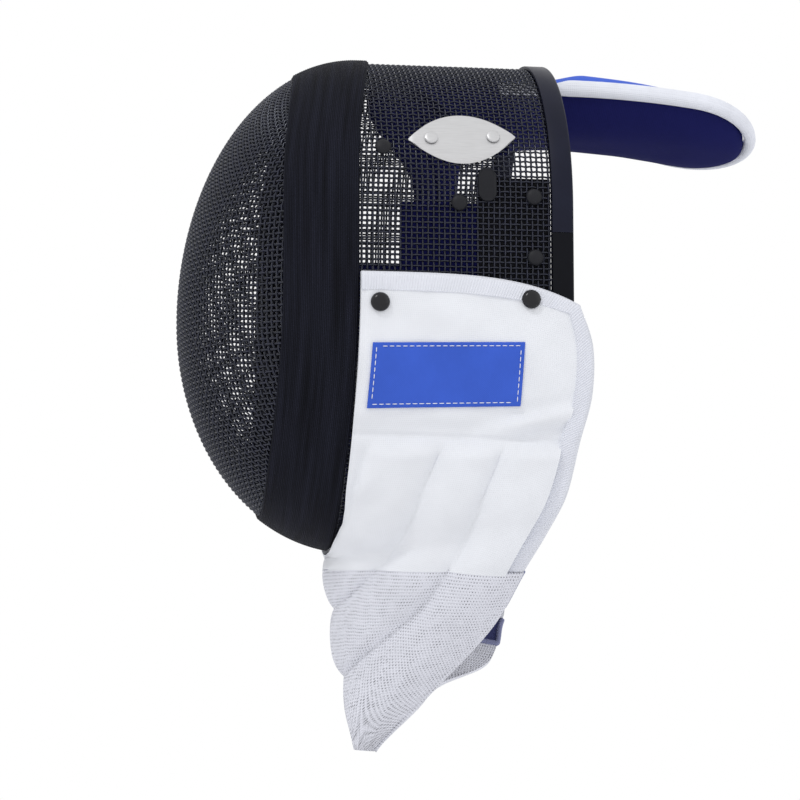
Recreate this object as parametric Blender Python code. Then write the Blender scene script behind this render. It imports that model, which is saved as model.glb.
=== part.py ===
"""Fencing mask: woven face dome and crown, seam band, rear trim, padded bib with quilted
throat, label patch, badge plate, studs, inner pads, back strap and a padded tongue.
Metres, +Z up, face towards -X, wearer's left towards -Y. Zero is where the head meets the crown pad."""

import bmesh
import bpy
from math import acos, asin, cos, pi, sin, sqrt
from mathutils import Matrix, Vector

# Driving sizes of the mesh shell
HALF_WIDTH = 0.105
SIDE_HEIGHT = 0.076
JAW_DEPTH = 0.1162
MESH_WALL = 0.002
DOME_X = -0.060
DOME_LENGTH = 0.106
NOSE_DROP = 0.160
FIT = 0.0003

# Seam band: where its rear and front edges lie at the crown, the side and the chin
BAND_REAR_CROWN = -0.052
BAND_REAR_SIDE = -0.068
BAND_REAR_CHIN = -0.0735
BAND_WIDTH_CROWN = 0.046
BAND_WIDTH_SIDE = 0.042
BAND_THICKNESS = 0.0018

# Rear edge of the mesh and the plastic trim that clips over it
REAR_CROWN_X = 0.0535
REAR_SIDE_X = 0.0543
REAR_CHIN_X = -0.0525
TRIM_LEG = 0.0105
TRIM_WALL = 0.0017
TRIM_JOINT_DROP = 0.120

# Padded bib
BIB_TOP_DROP = 0.146
BIB_THROAT = 0.1169
BIB_REACH = 0.137
BIB_THICKNESS = 0.005
BIB_STANDOFF = 0.0026
PUFF = 0.0055
TAPE_ROWS = 0.41
TAPE_SHARE = 0.06
TAPE_LIFT = 0.0004

# Pads, strap and tongue
CROWN_PAD = 0.014
CROWN_PAD_FRONT = -0.040
CROWN_PAD_REAR = 0.020
SIDE_PAD = 0.008
STRAP_WALL = 0.0022
STRAP_BOW = 0.034
TONGUE_HALF_WIDTH = 0.045
TONGUE_ROOT_X = CROWN_PAD_REAR + FIT
TONGUE_LENGTH = 0.1704
TONGUE_CROWN = 0.0150
TONGUE_DEPTH = 0.0255
TONGUE_TAPER = 0.40
TONGUE_DROOP = 0.030
TONGUE_TWIST = 0.20
COVER_WALL = 0.0015
PIPING_RADIUS = 0.0038

# Small hardware
STUD_RADIUS = 0.0055
RIVET_RADIUS = 0.0048
PLATE_RIVET_RADIUS = 0.0040
HEAD_SHARE = 0.62
PLATE_LENGTH = 0.063
PLATE_HEIGHT = 0.033
PLATE_WALL = 0.0010
PATCH_LENGTH = 0.089
PATCH_HEIGHT = 0.0365
PATCH_WALL = 0.0012
PATCH_LEAN = 0.07
TAB_LENGTH = 0.020
TAB_WIDTH = 0.011
TAB_WALL = 0.0016

# Faces round the mask, along the bib and across it
ROUND = 48
DOME_RINGS = 8
BAND_STATIONS = 5
ROWS_PER_STEP = 3
BIB_COLUMNS = 13
TONGUE_ROWS = 15
TONGUE_COLUMNS = 11

CROWN_TOP = CROWN_PAD + 2 * FIT + MESH_WALL
ARCH_Z = CROWN_TOP - HALF_WIDTH
JAW_Z = ARCH_Z - SIDE_HEIGHT
CHIN_Z = JAW_Z - JAW_DEPTH
NOSE_Z = CROWN_TOP - NOSE_DROP
BIB_TOP_Z = CROWN_TOP - BIB_TOP_DROP
BIB_CHIN_Z = CHIN_Z - BIB_STANDOFF
BIB_SIDE = HALF_WIDTH + BIB_STANDOFF + BIB_THICKNESS
CHIN_ROW = 5
LAME_ROW = 6
LAST_ROW = 9

ARC_RUN = HALF_WIDTH * pi / 2
JAW_RUN = sqrt((HALF_WIDTH**2 + JAW_DEPTH**2) / 2) * pi / 2
HALF_RUN = ARC_RUN + SIDE_HEIGHT + JAW_RUN
# How far the middle of a flat face of the arch lies inside the true arc
CHORD_SAG = HALF_WIDTH * (1 - cos(HALF_RUN / ROUND / HALF_WIDTH))

# Bib rows from top to tip. front: share from the top to the chin, then from the chin to the tip.
# x: share of BIB_REACH, y: share of BIB_SIDE, z: share of the bib's whole height, all at the rear edge.
# wrap: 0 lies flat along the side, 1 wraps round from the centre. b, c: quilting lines, shares of the row.
BIB_ROWS = [
    # front, x, y, z, wrap, inset, b, c
    (0.00, 0.925, 0.995, 0.062, 0.00, 0.000, 0.39, 0.655),
    (0.18, 0.975, 1.010, 0.150, 0.00, 0.000, 0.39, 0.655),
    (0.39, 0.970, 1.010, 0.255, 0.05, 0.000, 0.39, 0.655),
    (0.60, 0.920, 0.985, 0.355, 0.25, 0.000, 0.39, 0.655),
    (0.80, 0.870, 0.940, 0.465, 0.60, 0.015, 0.34, 0.630),
    (1.00, 0.800, 0.880, 0.540, 0.90, 0.027, 0.14, 0.620),
    (0.08, 0.705, 0.820, 0.625, 1.00, 0.012, 0.20, 0.600),
    (0.325, 0.600, 0.640, 0.735, 1.00, 0.034, 0.00, 0.500),
    (0.625, 0.400, 0.380, 0.860, 1.00, 0.070, 0.00, 0.000),
    (1.00, 0.160, 0.060, 1.000, 1.00, 0.115, 0.00, 0.000),
]
FRONT, REAR_X, REAR_Y, REAR_Z, WRAP, INSET, LINE_B, LINE_C = range(8)
# How the right flap hangs: back, in and down at each row, as shares of BIB_REACH
RIGHT_SWING = [
    # back, inward, down
    (0.00, 0.00, 0.00),
    (0.00, 0.00, 0.00),
    (0.00, 0.00, 0.00),
    (0.00, 0.00, 0.00),
    (0.02, 0.02, 0.03),
    (0.05, 0.07, 0.09),
    (0.12, 0.14, 0.165),
    (0.155, 0.12, 0.125),
    (0.045, 0.03, 0.045),
    (0.02, 0.00, 0.01),
]


def clear_scene():
    for obj in list(bpy.data.objects):
        bpy.data.objects.remove(obj, do_unlink=True)


def material(name, colour, roughness, metallic=0.0):
    made = bpy.data.materials.new(name)
    made.use_nodes = True
    shader = made.node_tree.nodes["Principled BSDF"]
    shader.inputs["Base Color"].default_value = (*colour, 1.0)
    shader.inputs["Roughness"].default_value = roughness
    shader.inputs["Metallic"].default_value = metallic
    return made


def mix(a, b, share):
    return a + (b - a) * share


def smooth(share):
    share = min(max(share, 0.0), 1.0)
    return share * share * (3 - 2 * share)


def build(name, points, faces, finish, smooth_below=0.7):
    """One closed body from points and faces, turned to face outwards."""
    mesh = bpy.data.meshes.new(name)
    mesh.from_pydata([tuple(point) for point in points], [], faces)
    shape = bmesh.new()
    shape.from_mesh(mesh)
    bmesh.ops.recalc_face_normals(shape, faces=shape.faces)
    shape.to_mesh(mesh)
    shape.free()
    mesh.shade_smooth()
    mesh.set_sharp_from_angle(angle=smooth_below)
    mesh.materials.append(finish)
    obj = bpy.data.objects.new(name, mesh)
    bpy.context.scene.collection.objects.link(obj)
    return obj


def shell(name, faces, outer, inner, finish):
    """A wall: the sheet of faces on the outer points, again on the inner ones, and a border."""
    count = len(outer)
    uses = {}
    for face in faces:
        for a, b in zip(face, face[1:] + face[:1]):
            uses.setdefault(frozenset((a, b)), []).append((a, b))
    solid = [list(face) for face in faces]
    solid += [[index + count for index in reversed(face)] for face in faces]
    for found in uses.values():
        if len(found) == 1:
            a, b = found[0]
            solid.append([b, a, a + count, b + count])
    return build(name, list(outer) + list(inner), solid, finish)


def grid_faces(rows, columns, around=False):
    """Quads of a grid whose points are listed row by row; around joins the last column to the first."""
    faces = []
    for row in range(rows - 1):
        for column in range(columns if around else columns - 1):
            after = (column + 1) % columns
            faces.append([
                row * columns + column,
                row * columns + after,
                (row + 1) * columns + after,
                (row + 1) * columns + column,
            ])
    return faces


def sweep(name, sections, finish):
    """A closed section carried along a path, with flat ends."""
    size = len(sections[0])
    points = [point for section in sections for point in section]
    faces = grid_faces(len(sections), size, around=True)
    faces.append(list(range(size)))
    faces.append([len(points) - size + index for index in reversed(range(size))])
    return build(name, points, faces, finish)


def half_profile(share, lift=0.0):
    """Half width and height of the mask's outline, from the crown (0) to the chin (1)."""
    run = share * HALF_RUN
    radius = HALF_WIDTH + lift
    if run <= ARC_RUN:
        angle = run / HALF_WIDTH
        return radius * sin(angle), ARCH_Z + radius * cos(angle)
    if run <= ARC_RUN + SIDE_HEIGHT:
        return radius, ARCH_Z - (run - ARC_RUN)
    angle = min((run - ARC_RUN - SIDE_HEIGHT) / JAW_RUN, 1.0) * pi / 2
    return radius * cos(angle), JAW_Z - (JAW_DEPTH + lift) * sin(angle)


def share_at(z):
    """Where the outline passes a height, as a share of its run."""
    if z > ARCH_Z:
        return HALF_WIDTH * acos(min((z - ARCH_Z) / HALF_WIDTH, 1.0)) / HALF_RUN
    if z > JAW_Z:
        return (ARC_RUN + ARCH_Z - z) / HALF_RUN
    angle = asin(min((JAW_Z - z) / JAW_DEPTH, 1.0))
    return (ARC_RUN + SIDE_HEIGHT + JAW_RUN * angle / (pi / 2)) / HALF_RUN


def half_width_at(z, lift):
    if z > JAW_Z:
        return HALF_WIDTH + lift
    return (HALF_WIDTH + lift) * sqrt(max(1 - ((JAW_Z - z) / (JAW_DEPTH + lift)) ** 2, 0.0))


def mask_point(side, share, x, lift=0.0):
    """A point of the mesh surface; ahead of DOME_X the outline closes in an ellipse to the nose."""
    y, z = half_profile(share, lift)
    if x >= DOME_X:
        return Vector((x, side * y, z))
    forward = min((DOME_X - x) / DOME_LENGTH, 1.0)
    shrink = sqrt(max(1 - forward**2, 0.0))
    x = DOME_X - (DOME_LENGTH + lift) * forward
    return Vector((x, side * y * shrink, NOSE_Z + (z - NOSE_Z) * shrink))


def round_places(count=ROUND):
    """(side, share) of evenly spaced places round the mask, from the crown down the left and up the right."""
    places = []
    for index in range(count):
        share = 2 * index / count
        places.append((-1, share) if share <= 1 else (1, 2 - share))
    return places


def stations_between(low, high):
    """The two shares and the mesh's own stations between them, so that walls stay parallel."""
    own = [2 * index / ROUND for index in range(-ROUND // 2, ROUND // 2 + 1)]
    return [low] + [share for share in own if low + 0.004 < share < high - 0.004] + [high]


def band_rear(share):
    x = mix(BAND_REAR_CROWN, BAND_REAR_SIDE, smooth(share / 0.36))
    return mix(x, BAND_REAR_CHIN, smooth((share - 0.50) / 0.36))


def band_front(share):
    return band_rear(share) - mix(BAND_WIDTH_CROWN, BAND_WIDTH_SIDE, smooth(share / 0.36))


def band_middle(share):
    return (band_rear(share) + band_front(share)) / 2


def rear_edge(share):
    """Rear edge of the mesh: straight down the sides, then forward under the jaw to the chin."""
    x = mix(REAR_CROWN_X, REAR_SIDE_X, smooth(share / 0.40))
    return mix(x, REAR_CHIN_X, smooth((share - 0.62) / 0.36))


def face_mesh(finish):
    places = round_places()
    rings = DOME_RINGS
    outer, inner = [], []
    for points, lift in ((outer, 0.0), (inner, -MESH_WALL)):
        for ring in range(rings):
            for side, share in places:
                start = asin((DOME_X - band_middle(share) + FIT) / DOME_LENGTH)
                angle = mix(start, pi / 2, ring / rings)
                points.append(mask_point(side, share, DOME_X - DOME_LENGTH * sin(angle), lift))
        points.append(mask_point(-1, 0.5, DOME_X - DOME_LENGTH, lift))
    faces = grid_faces(rings, ROUND, around=True)
    first = (rings - 1) * ROUND
    for column in range(ROUND):
        faces.append([first + column, first + (column + 1) % ROUND, rings * ROUND])
    shell("face_mesh", faces, outer, inner, finish)


def crown_mesh(finish):
    stations = (0.0, 0.10, 0.20, 0.30, 0.65, 1.0)
    outer, inner = [], []
    for points, lift in ((outer, 0.0), (inner, -MESH_WALL)):
        for station in stations:
            for side, share in round_places():
                x = mix(band_middle(share), rear_edge(share), station)
                points.append(mask_point(side, share, x, lift))
    faces = grid_faces(len(stations), ROUND, around=True)
    shell("crown_mesh", faces, outer, inner, finish)


def seam_band(finish):
    outer, inner = [], []
    for points, lift in ((outer, FIT + BAND_THICKNESS), (inner, FIT)):
        for station in range(BAND_STATIONS):
            for side, share in round_places():
                x = mix(band_rear(share), band_front(share), station / (BAND_STATIONS - 1))
                points.append(mask_point(side, share, x, lift))
    shell("seam_band", grid_faces(BAND_STATIONS, ROUND, around=True), outer, inner, finish)


def trim_section(side, share):
    """The clip's channel section at one place of the rear edge."""
    edge = rear_edge(share)
    above = FIT + TRIM_WALL
    below = -MESH_WALL - FIT - TRIM_WALL
    corners = [
        (-TRIM_LEG, above), (FIT + 0.4 * TRIM_WALL, above), (FIT + TRIM_WALL, above - 0.6 * TRIM_WALL),
        (FIT + TRIM_WALL, below + 0.6 * TRIM_WALL), (FIT + 0.4 * TRIM_WALL, below), (-TRIM_LEG, below),
        (-TRIM_LEG, -MESH_WALL - FIT), (FIT, -MESH_WALL - FIT), (FIT, FIT), (-TRIM_LEG, FIT),
    ]
    return [mask_point(side, share, edge + along, lift) for along, lift in corners]


def trims(grey, black):
    """The clip's grey upper arc and its black lower run under the jaw, with stations where the mesh has them."""
    joint = share_at(CROWN_TOP - TRIM_JOINT_DROP)
    places = sorted({2 * index / ROUND for index in range(ROUND // 2 + 1)})
    above = [share for share in places if share < joint - FIT]
    below = [share for share in places if share > joint + FIT]
    upper = [(-1, share) for share in [joint] + above[:0:-1]] + [(1, share) for share in above + [joint]]
    sweep("rim_trim", [trim_section(side, share) for side, share in upper], grey)
    start = joint + FIT / HALF_RUN
    lower = [(-1, share) for share in [start] + below] + [(1, share) for share in below[-2::-1] + [start]]
    sweep("rim_lower", [trim_section(side, share) for side, share in lower], black)


def row_value(column, row):
    """A value of the bib's table at a row between two listed ones, on a smooth curve."""
    low = min(int(row), LAST_ROW - 1)
    share = row - low
    first, second = BIB_ROWS[low][column], BIB_ROWS[low + 1][column]
    if low > 0:
        lead = (second - BIB_ROWS[low - 1][column]) / 2
    else:
        lead = second - first
    if low + 2 <= LAST_ROW:
        tail = (BIB_ROWS[low + 2][column] - first) / 2
    else:
        tail = second - first
    cube, square = share**3, share**2
    return ((2 * cube - 3 * square + 1) * first + (cube - 2 * square + share) * lead
            + (3 * square - 2 * cube) * second + (cube - square) * tail)


def swing_value(column, row):
    low = min(int(row), LAST_ROW - 1)
    return mix(RIGHT_SWING[low][column], RIGHT_SWING[low + 1][column], smooth(row - low))


def front_height(row):
    low = min(int(row), LAST_ROW - 1)
    share = row - low
    if row <= CHIN_ROW:
        return mix(BIB_TOP_Z, BIB_CHIN_Z, mix(BIB_ROWS[low][FRONT], BIB_ROWS[low + 1][FRONT], share)
                   if low < CHIN_ROW else 1.0)
    first = 0.0 if low == CHIN_ROW else BIB_ROWS[low][FRONT]
    return BIB_CHIN_Z - BIB_THROAT * mix(first, BIB_ROWS[low + 1][FRONT], share)


def bib_point(side, row, across):
    """The bib's outer face before quilting: across runs from the front (0) to the rear edge (1)."""
    wrap = row_value(WRAP, row)
    z = front_height(row)
    if row < CHIN_ROW:
        lift = BIB_STANDOFF + BIB_THICKNESS * (1 - smooth((row - 4.3) / 0.7))
        y = half_width_at(z, lift)
    else:
        y = 0.0
    x = band_rear(share_at(max(z, CHIN_Z))) + FIT + BIB_REACH * row_value(INSET, row)
    height = BIB_TOP_Z - BIB_CHIN_Z + BIB_THROAT
    rear_x = BAND_REAR_SIDE + BIB_REACH * row_value(REAR_X, row)
    rear_y = BIB_SIDE * row_value(REAR_Y, row)
    rear_z = BIB_TOP_Z - height * row_value(REAR_Z, row)
    if side > 0:
        rear_x += BIB_REACH * swing_value(0, row)
        rear_y -= BIB_REACH * swing_value(1, row)
        rear_z -= BIB_REACH * swing_value(2, row)
    turn = across * pi / 2
    along = mix(across, 1 - cos(turn), wrap)
    out = mix(across, sin(turn), wrap)
    fall = across ** mix(4.0, 1.2, smooth(row / 1.5))
    return Vector((mix(x, rear_x, along), side * mix(y, rear_y, out), mix(z, rear_z, fall)))


def bib_normal(side, row, across):
    step = 0.02
    if CHIN_ROW - 0.8 < row < CHIN_ROW + 0.15:
        row = mix(row, CHIN_ROW + 0.15, smooth((row - CHIN_ROW + 0.8) / 0.6))
    row = min(max(row, step), LAST_ROW - 0.3)
    across = min(max(across, 0.08), 0.96)
    down = bib_point(side, row + step, across) - bib_point(side, row - step, across)
    back = bib_point(side, row, across + step) - bib_point(side, row, across - step)
    normal = down.cross(back).normalized()
    if normal.y * side < 0:
        normal = -normal
    return normal


def puff_at(row, across):
    """How far the quilting stands out: three channels below the cross seam, each rounded between seams."""
    if row <= 3:
        return 0.0
    wrap = row_value(WRAP, row)
    place = mix(across, 1 - cos(across * pi / 2), wrap)
    lines = (0.0, max(row_value(LINE_B, row), 0.0), max(row_value(LINE_C, row), 0.0), 1.0)
    for low, high in zip(lines, lines[1:]):
        if low <= place <= high and high - low > 0.02:
            share = (place - low) / (high - low)
            if low == 0.0:
                share = mix(0.35, 1.0, share) if row < CHIN_ROW else mix(0.5, 1.0, share)
            start = smooth((row - 3) / 0.8)
            width = min((high - low) / 0.25, 1.0)
            tip = smooth((LAST_ROW + 0.1 - row) / 1.0)
            return PUFF * start * width * tip * sin(pi * share) ** 0.8
    return 0.0


def bib_lifted(side, row, across, lift):
    normal = bib_normal(side, row, across)
    if across == 0.0 and row >= CHIN_ROW:
        normal.y = 0.0
        normal.normalize()
    return bib_point(side, row, across) + normal * lift


def spaced(low, high, count):
    return [mix(low, high, index / count) for index in range(count + 1)]


def bib_panel(name, rows, columns, finish, thickness):
    """Both halves of the bib over these rows and columns, joined along the centre below the chin."""
    index, faces, outer, inner = {}, [], [], []

    def vertex(side, row, across):
        key = (0 if across == 0.0 and row >= CHIN_ROW else side, row, across)
        if key not in index:
            index[key] = len(outer)
            outer.append(bib_lifted(side, row, across, puff_at(row, across)))
            inner.append(bib_lifted(side, row, across, -thickness))
            if key[0] == 0:
                outer[-1].y = 0.0
                inner[-1].y = 0.0
        return index[key]

    for side in (-1, 1):
        for top, bottom in zip(rows, rows[1:]):
            for left, right in zip(columns, columns[1:]):
                face = [vertex(side, top, left), vertex(side, bottom, left),
                        vertex(side, bottom, right), vertex(side, top, right)]
                faces.append(face if side < 0 else face[::-1])
    shell(name, faces, outer, inner, finish)


def bib(white, silver, tape):
    row_gap = 1.5 * FIT * LAST_ROW / (BIB_TOP_Z - BIB_CHIN_Z + BIB_THROAT)
    column_gap = FIT / BIB_REACH
    side_edge = 1 - TAPE_SHARE
    rows = [TAPE_ROWS + row_gap] + [row / ROWS_PER_STEP for row in range(2, CHIN_ROW * ROWS_PER_STEP + 1)]
    rows += spaced(CHIN_ROW, LAME_ROW - 2 * row_gap, 2)[1:]
    columns = spaced(0.0, side_edge - 2 * column_gap, BIB_COLUMNS)
    bib_panel("bib", rows, columns, white, BIB_THICKNESS)
    rows = spaced(LAME_ROW + row_gap, LAST_ROW, 3 * ROWS_PER_STEP)
    bib_panel("bib_lame", rows, spaced(0.0, 1.0, BIB_COLUMNS), silver, 0.8 * BIB_THICKNESS)
    for side, name in ((-1, "bib_binding_left"), (1, "bib_binding_right")):
        path = []
        for across in spaced(0.0, 1.0, 12):
            path.append(((0.0, across), (TAPE_ROWS - row_gap, across * side_edge)))
        end = LAME_ROW - 2 * row_gap
        for share in spaced(0.0, 1.0, 14)[1:]:
            path.append(((share * end, 1.0), (mix(TAPE_ROWS - row_gap, end, share), side_edge)))
        outer, inner = [], []
        for edge, inside in path:
            for row, across in (edge, inside):
                outer.append(bib_lifted(side, row, across, TAPE_LIFT))
                inner.append(bib_lifted(side, row, across, -BIB_THICKNESS))
        shell(name, grid_faces(len(path), 2), outer, inner, tape)


def frame_on(point, along, normal):
    """Turns a piece drawn flat (X along, Z out) onto a surface point."""
    along = (along - normal * along.dot(normal)).normalized()
    across = normal.cross(along)
    turned = Matrix((along, across, normal)).transposed().to_4x4()
    return Matrix.Translation(point) @ turned


def dome_head(name, radius, place, finish, sides=10):
    """A domed rivet or stud head with a flat back, turned from its radius."""
    height = HEAD_SHARE * radius
    rings = [(1.0, 0.0), (1.0, 0.30), (0.82, 0.72), (0.45, 0.95)]
    points = []
    for share, rise in rings:
        for index in range(sides):
            angle = 2 * pi * index / sides
            points.append(Vector((share * radius * cos(angle), share * radius * sin(angle), rise * height)))
    faces = grid_faces(len(rings), sides, around=True)
    points += [Vector((0, 0, height)), Vector((0, 0, 0))]
    for index in range(sides):
        after = (index + 1) % sides
        top = (len(rings) - 1) * sides
        faces.append([top + index, top + after, len(points) - 2])
        faces.append([after, index, len(points) - 1])
    build(name, [place @ point for point in points], faces, finish)


def side_frame(side, x, z, lift, tilt=0.0):
    """Place and turn of a piece on the mesh at a point of the side."""
    share = share_at(z)
    point = mask_point(side, share, x, lift)
    step = 0.004
    down = mask_point(side, share + step, x, lift) - mask_point(side, share - step, x, lift)
    normal = Vector((1, 0, 0)).cross(down).normalized()
    if normal.y * side < 0:
        normal = -normal
    return frame_on(point, Vector((1, 0, tilt)), normal)


def bib_frame(side, x, z, lift):
    """Place and turn of a piece on the bib's face, found by stepping to the wanted x and z."""
    row, across = 1.0, 0.5
    for _ in range(60):
        found = bib_point(side, row, across)
        row += (found.z - z) / 0.03 * 0.5
        across += (x - found.x) / BIB_REACH * 0.5
        row = min(max(row, 0.02), LAST_ROW - 0.1)
        across = min(max(across, 0.01), 0.99)
    normal = bib_normal(side, row, across)
    return frame_on(bib_point(side, row, across) + normal * lift, Vector((1, 0, 0)), normal)


def hardware(black, steel):
    """Mesh rivets on both sides, bib studs on both sides."""
    rivets = [
        # x, drop below the crown
        (-0.0538, 0.0715),
        (-0.0104, 0.1040),
        (0.0333, 0.0995),
        (0.0339, 0.1350),
    ]
    studs = [(-0.0572, 0.1640), (0.0297, 0.1607)]
    for side, word in ((-1, "left"), (1, "right")):
        for number, (x, drop) in enumerate(rivets, 1):
            place = side_frame(side, x, CROWN_TOP - drop, FIT)
            dome_head(f"mesh_rivet_{word}_{number}", RIVET_RADIUS, place, black)
        for number, (x, drop) in enumerate(studs, 1):
            place = bib_frame(side, x, CROWN_TOP - drop, TAPE_LIFT + 1.5 * FIT)
            dome_head(f"bib_stud_{word}_{number}", STUD_RADIUS, place, black)
    plate_place = badge_plate(steel)
    for number, share in enumerate((-0.29, 0.29), 1):
        local = Matrix.Translation(Vector((share * PLATE_LENGTH, 0, 0)))
        place = plate_place @ local
        place.translation += place.col[2].xyz * (PLATE_WALL + FIT)
        dome_head(f"plate_rivet_{number}", PLATE_RIVET_RADIUS, place, steel)
    size_tab(black)


def bent_on_mesh(outline, x, z, tilt, wall):
    """A flat outline bent to the mesh on the left side; outline points are (along, up) pairs."""
    share = share_at(z)
    outer, inner = [], []
    for along, up in outline:
        turned_along = along * cos(tilt) - up * sin(tilt)
        turned_up = along * sin(tilt) + up * cos(tilt)
        for points, lift in ((outer, FIT + wall), (inner, FIT)):
            points.append(mask_point(-1, share - turned_up / HALF_RUN, x + turned_along, lift))
    return outer, inner


def badge_plate(finish):
    """Lens-shaped metal plate, bent to the mesh."""
    x, z, tilt = -0.0075, CROWN_TOP - 0.0647, 0.06
    columns, rows = 13, 5
    outline = []
    for column in range(columns):
        along = mix(-1.0, 1.0, column / (columns - 1))
        half = max(1 - along**2, 0.0) * 0.5 + 0.012
        for row in range(rows):
            up = mix(-half, half, row / (rows - 1))
            outline.append((along * PLATE_LENGTH / 2, up * PLATE_HEIGHT))
    outer, inner = bent_on_mesh(outline, x, z, tilt, PLATE_WALL)
    shell("badge_plate", grid_faces(columns, rows), outer, inner, finish)
    return side_frame(-1, x, z, FIT, tilt)


def size_tab(finish):
    """Oblong tab with rounded ends, fixed over the mesh."""
    x, z = 0.0060, CROWN_TOP - 0.0930
    rows, columns = 9, 5
    outline = []
    for row in range(rows):
        up = mix(-1.0, 1.0, row / (rows - 1))
        beyond = max(abs(up) * TAB_LENGTH - (TAB_LENGTH - TAB_WIDTH), 0.0) / TAB_WIDTH
        half = sqrt(max(1 - beyond**2, 0.03)) * TAB_WIDTH / 2
        for column in range(columns):
            outline.append((mix(-half, half, column / (columns - 1)), up * TAB_LENGTH / 2))
    outer, inner = bent_on_mesh(outline, x, z, 0.0, TAB_WALL)
    shell("size_tab", grid_faces(rows, columns), outer, inner, finish)


def label_patch(finish):
    """Cloth patch sewn to the left flap."""
    centre_x, centre_z = -0.0178, CROWN_TOP - 0.2046
    columns, rows = 13, 6
    outer, inner = [], []
    for column in range(columns):
        for row in range(rows):
            z = centre_z + mix(-0.5, 0.5, row / (rows - 1)) * PATCH_HEIGHT
            x = centre_x + mix(-0.5, 0.5, column / (columns - 1)) * PATCH_LENGTH + PATCH_LEAN * (z - centre_z)
            place = bib_frame(-1, x, z, 0.0)
            normal = place.col[2].xyz
            outer.append(place.translation + normal * (FIT + PATCH_WALL))
            inner.append(place.translation + normal * FIT)
    shell("label_patch", grid_faces(columns, rows), outer, inner, finish)


def pad_on_wall(name, side, xs, shares, depth, finish, both=False):
    """A soft pad against the inside of the mesh, thinner towards its borders."""
    outer, inner = [], []
    seat = MESH_WALL + FIT + CHORD_SAG
    for row, share in enumerate(shares):
        for column, x in enumerate(xs):
            across = min(row, len(shares) - 1 - row) / 1.5
            along = min(column, len(xs) - 1 - column) / 1.5
            body = mix(0.45, 1.0, min(across, 1.0)) * mix(0.45, 1.0, min(along, 1.0))
            here = (-1 if share <= 0 else 1) if both else side
            outer.append(mask_point(here, abs(share), x, -seat))
            inner.append(mask_point(here, abs(share), x, -seat - depth * body))
    shell(name, grid_faces(len(shares), len(xs)), outer, inner, finish)


def pads(navy, black):
    wing = share_at(CROWN_TOP - 0.072)
    pad_on_wall("crown_pad", 0, spaced(CROWN_PAD_FRONT, CROWN_PAD_REAR, 6), stations_between(-wing, wing), CROWN_PAD, navy,
                both=True)
    top, low = share_at(CROWN_TOP - 0.104), share_at(CROWN_TOP - 0.206)
    anchor_top, anchor_low = share_at(CROWN_TOP - 0.0875), share_at(CROWN_TOP - 0.154)
    for side, word in ((-1, "left"), (1, "right")):
        pad_on_wall(f"side_pad_{word}", side, spaced(-0.044, 0.0, 5), stations_between(top, low), SIDE_PAD, navy)
        pad_on_wall(f"strap_anchor_{word}", side, spaced(0.0015, 0.0425, 4),
                    stations_between(anchor_top, anchor_low), STRAP_WALL, black)
    back_strap(black)


def back_strap(finish):
    """Elastic strap from one anchor round behind the head to the other."""
    half = HALF_WIDTH - MESH_WALL - 2 * FIT - CHORD_SAG - STRAP_WALL
    start_x = 0.018
    low, high = CROWN_TOP - 0.138, CROWN_TOP - 0.102
    path = [(mix(0.004, start_x, share), -half) for share in (0.0, 0.5)]
    for angle in spaced(-pi / 2, pi / 2, 22):
        path.append((start_x + STRAP_BOW * cos(angle), half * sin(angle)))
    path += [(mix(start_x, 0.004, share), half) for share in (0.5, 1.0)]
    outer, inner = [], []
    for index, (x, y) in enumerate(path):
        before, after = path[max(index - 1, 0)], path[min(index + 1, len(path) - 1)]
        run = Vector((after[0] - before[0], after[1] - before[1], 0)).normalized()
        inward = Vector((-run.y, run.x, 0))
        for z in (low, high):
            outer.append(Vector((x, y, z)))
            inner.append(Vector((x, y, z)) + inward * STRAP_WALL)
    shell("back_strap", grid_faces(len(path), 2), outer, inner, finish)


def tongue_edge(share):
    """Half width of the tongue along its length: parallel, then a round tip."""
    start = 1 - TONGUE_HALF_WIDTH / TONGUE_LENGTH
    if share <= start:
        return 1.0
    return sqrt(max(1 - ((share - start) / (1 - start)) ** 2, 0.0))


def tongue_point(share, across, rise, inset=0.0):
    """A point of the tongue: across -1..1 of its width, rise above (or below) the line of its edges."""
    length = TONGUE_LENGTH - inset
    width = (TONGUE_HALF_WIDTH - inset) * tongue_edge(share)
    x = TONGUE_ROOT_X + share * length
    y = across * width
    root_z = CROWN_TOP - MESH_WALL - 2 * FIT - TRIM_WALL - FIT - TONGUE_CROWN
    z = root_z - TONGUE_DROOP * max(share - 0.20, 0.0) ** 1.6 + rise
    turn = TONGUE_TWIST * smooth(share)
    centre = root_z - 0.5 * TONGUE_DROOP
    return Vector((x, y * cos(turn) + (z - centre) * sin(turn) * 0.5, z - y * sin(turn)))


def tongue_body(share, across, full_height, edge_power):
    """Height of the tongue's upper or lower face over its edge line, less towards the tip."""
    body = full_height * tongue_edge(share) ** 0.8 * mix(1.0, TONGUE_TAPER, share)
    return body * (1 - abs(across) ** edge_power)


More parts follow.
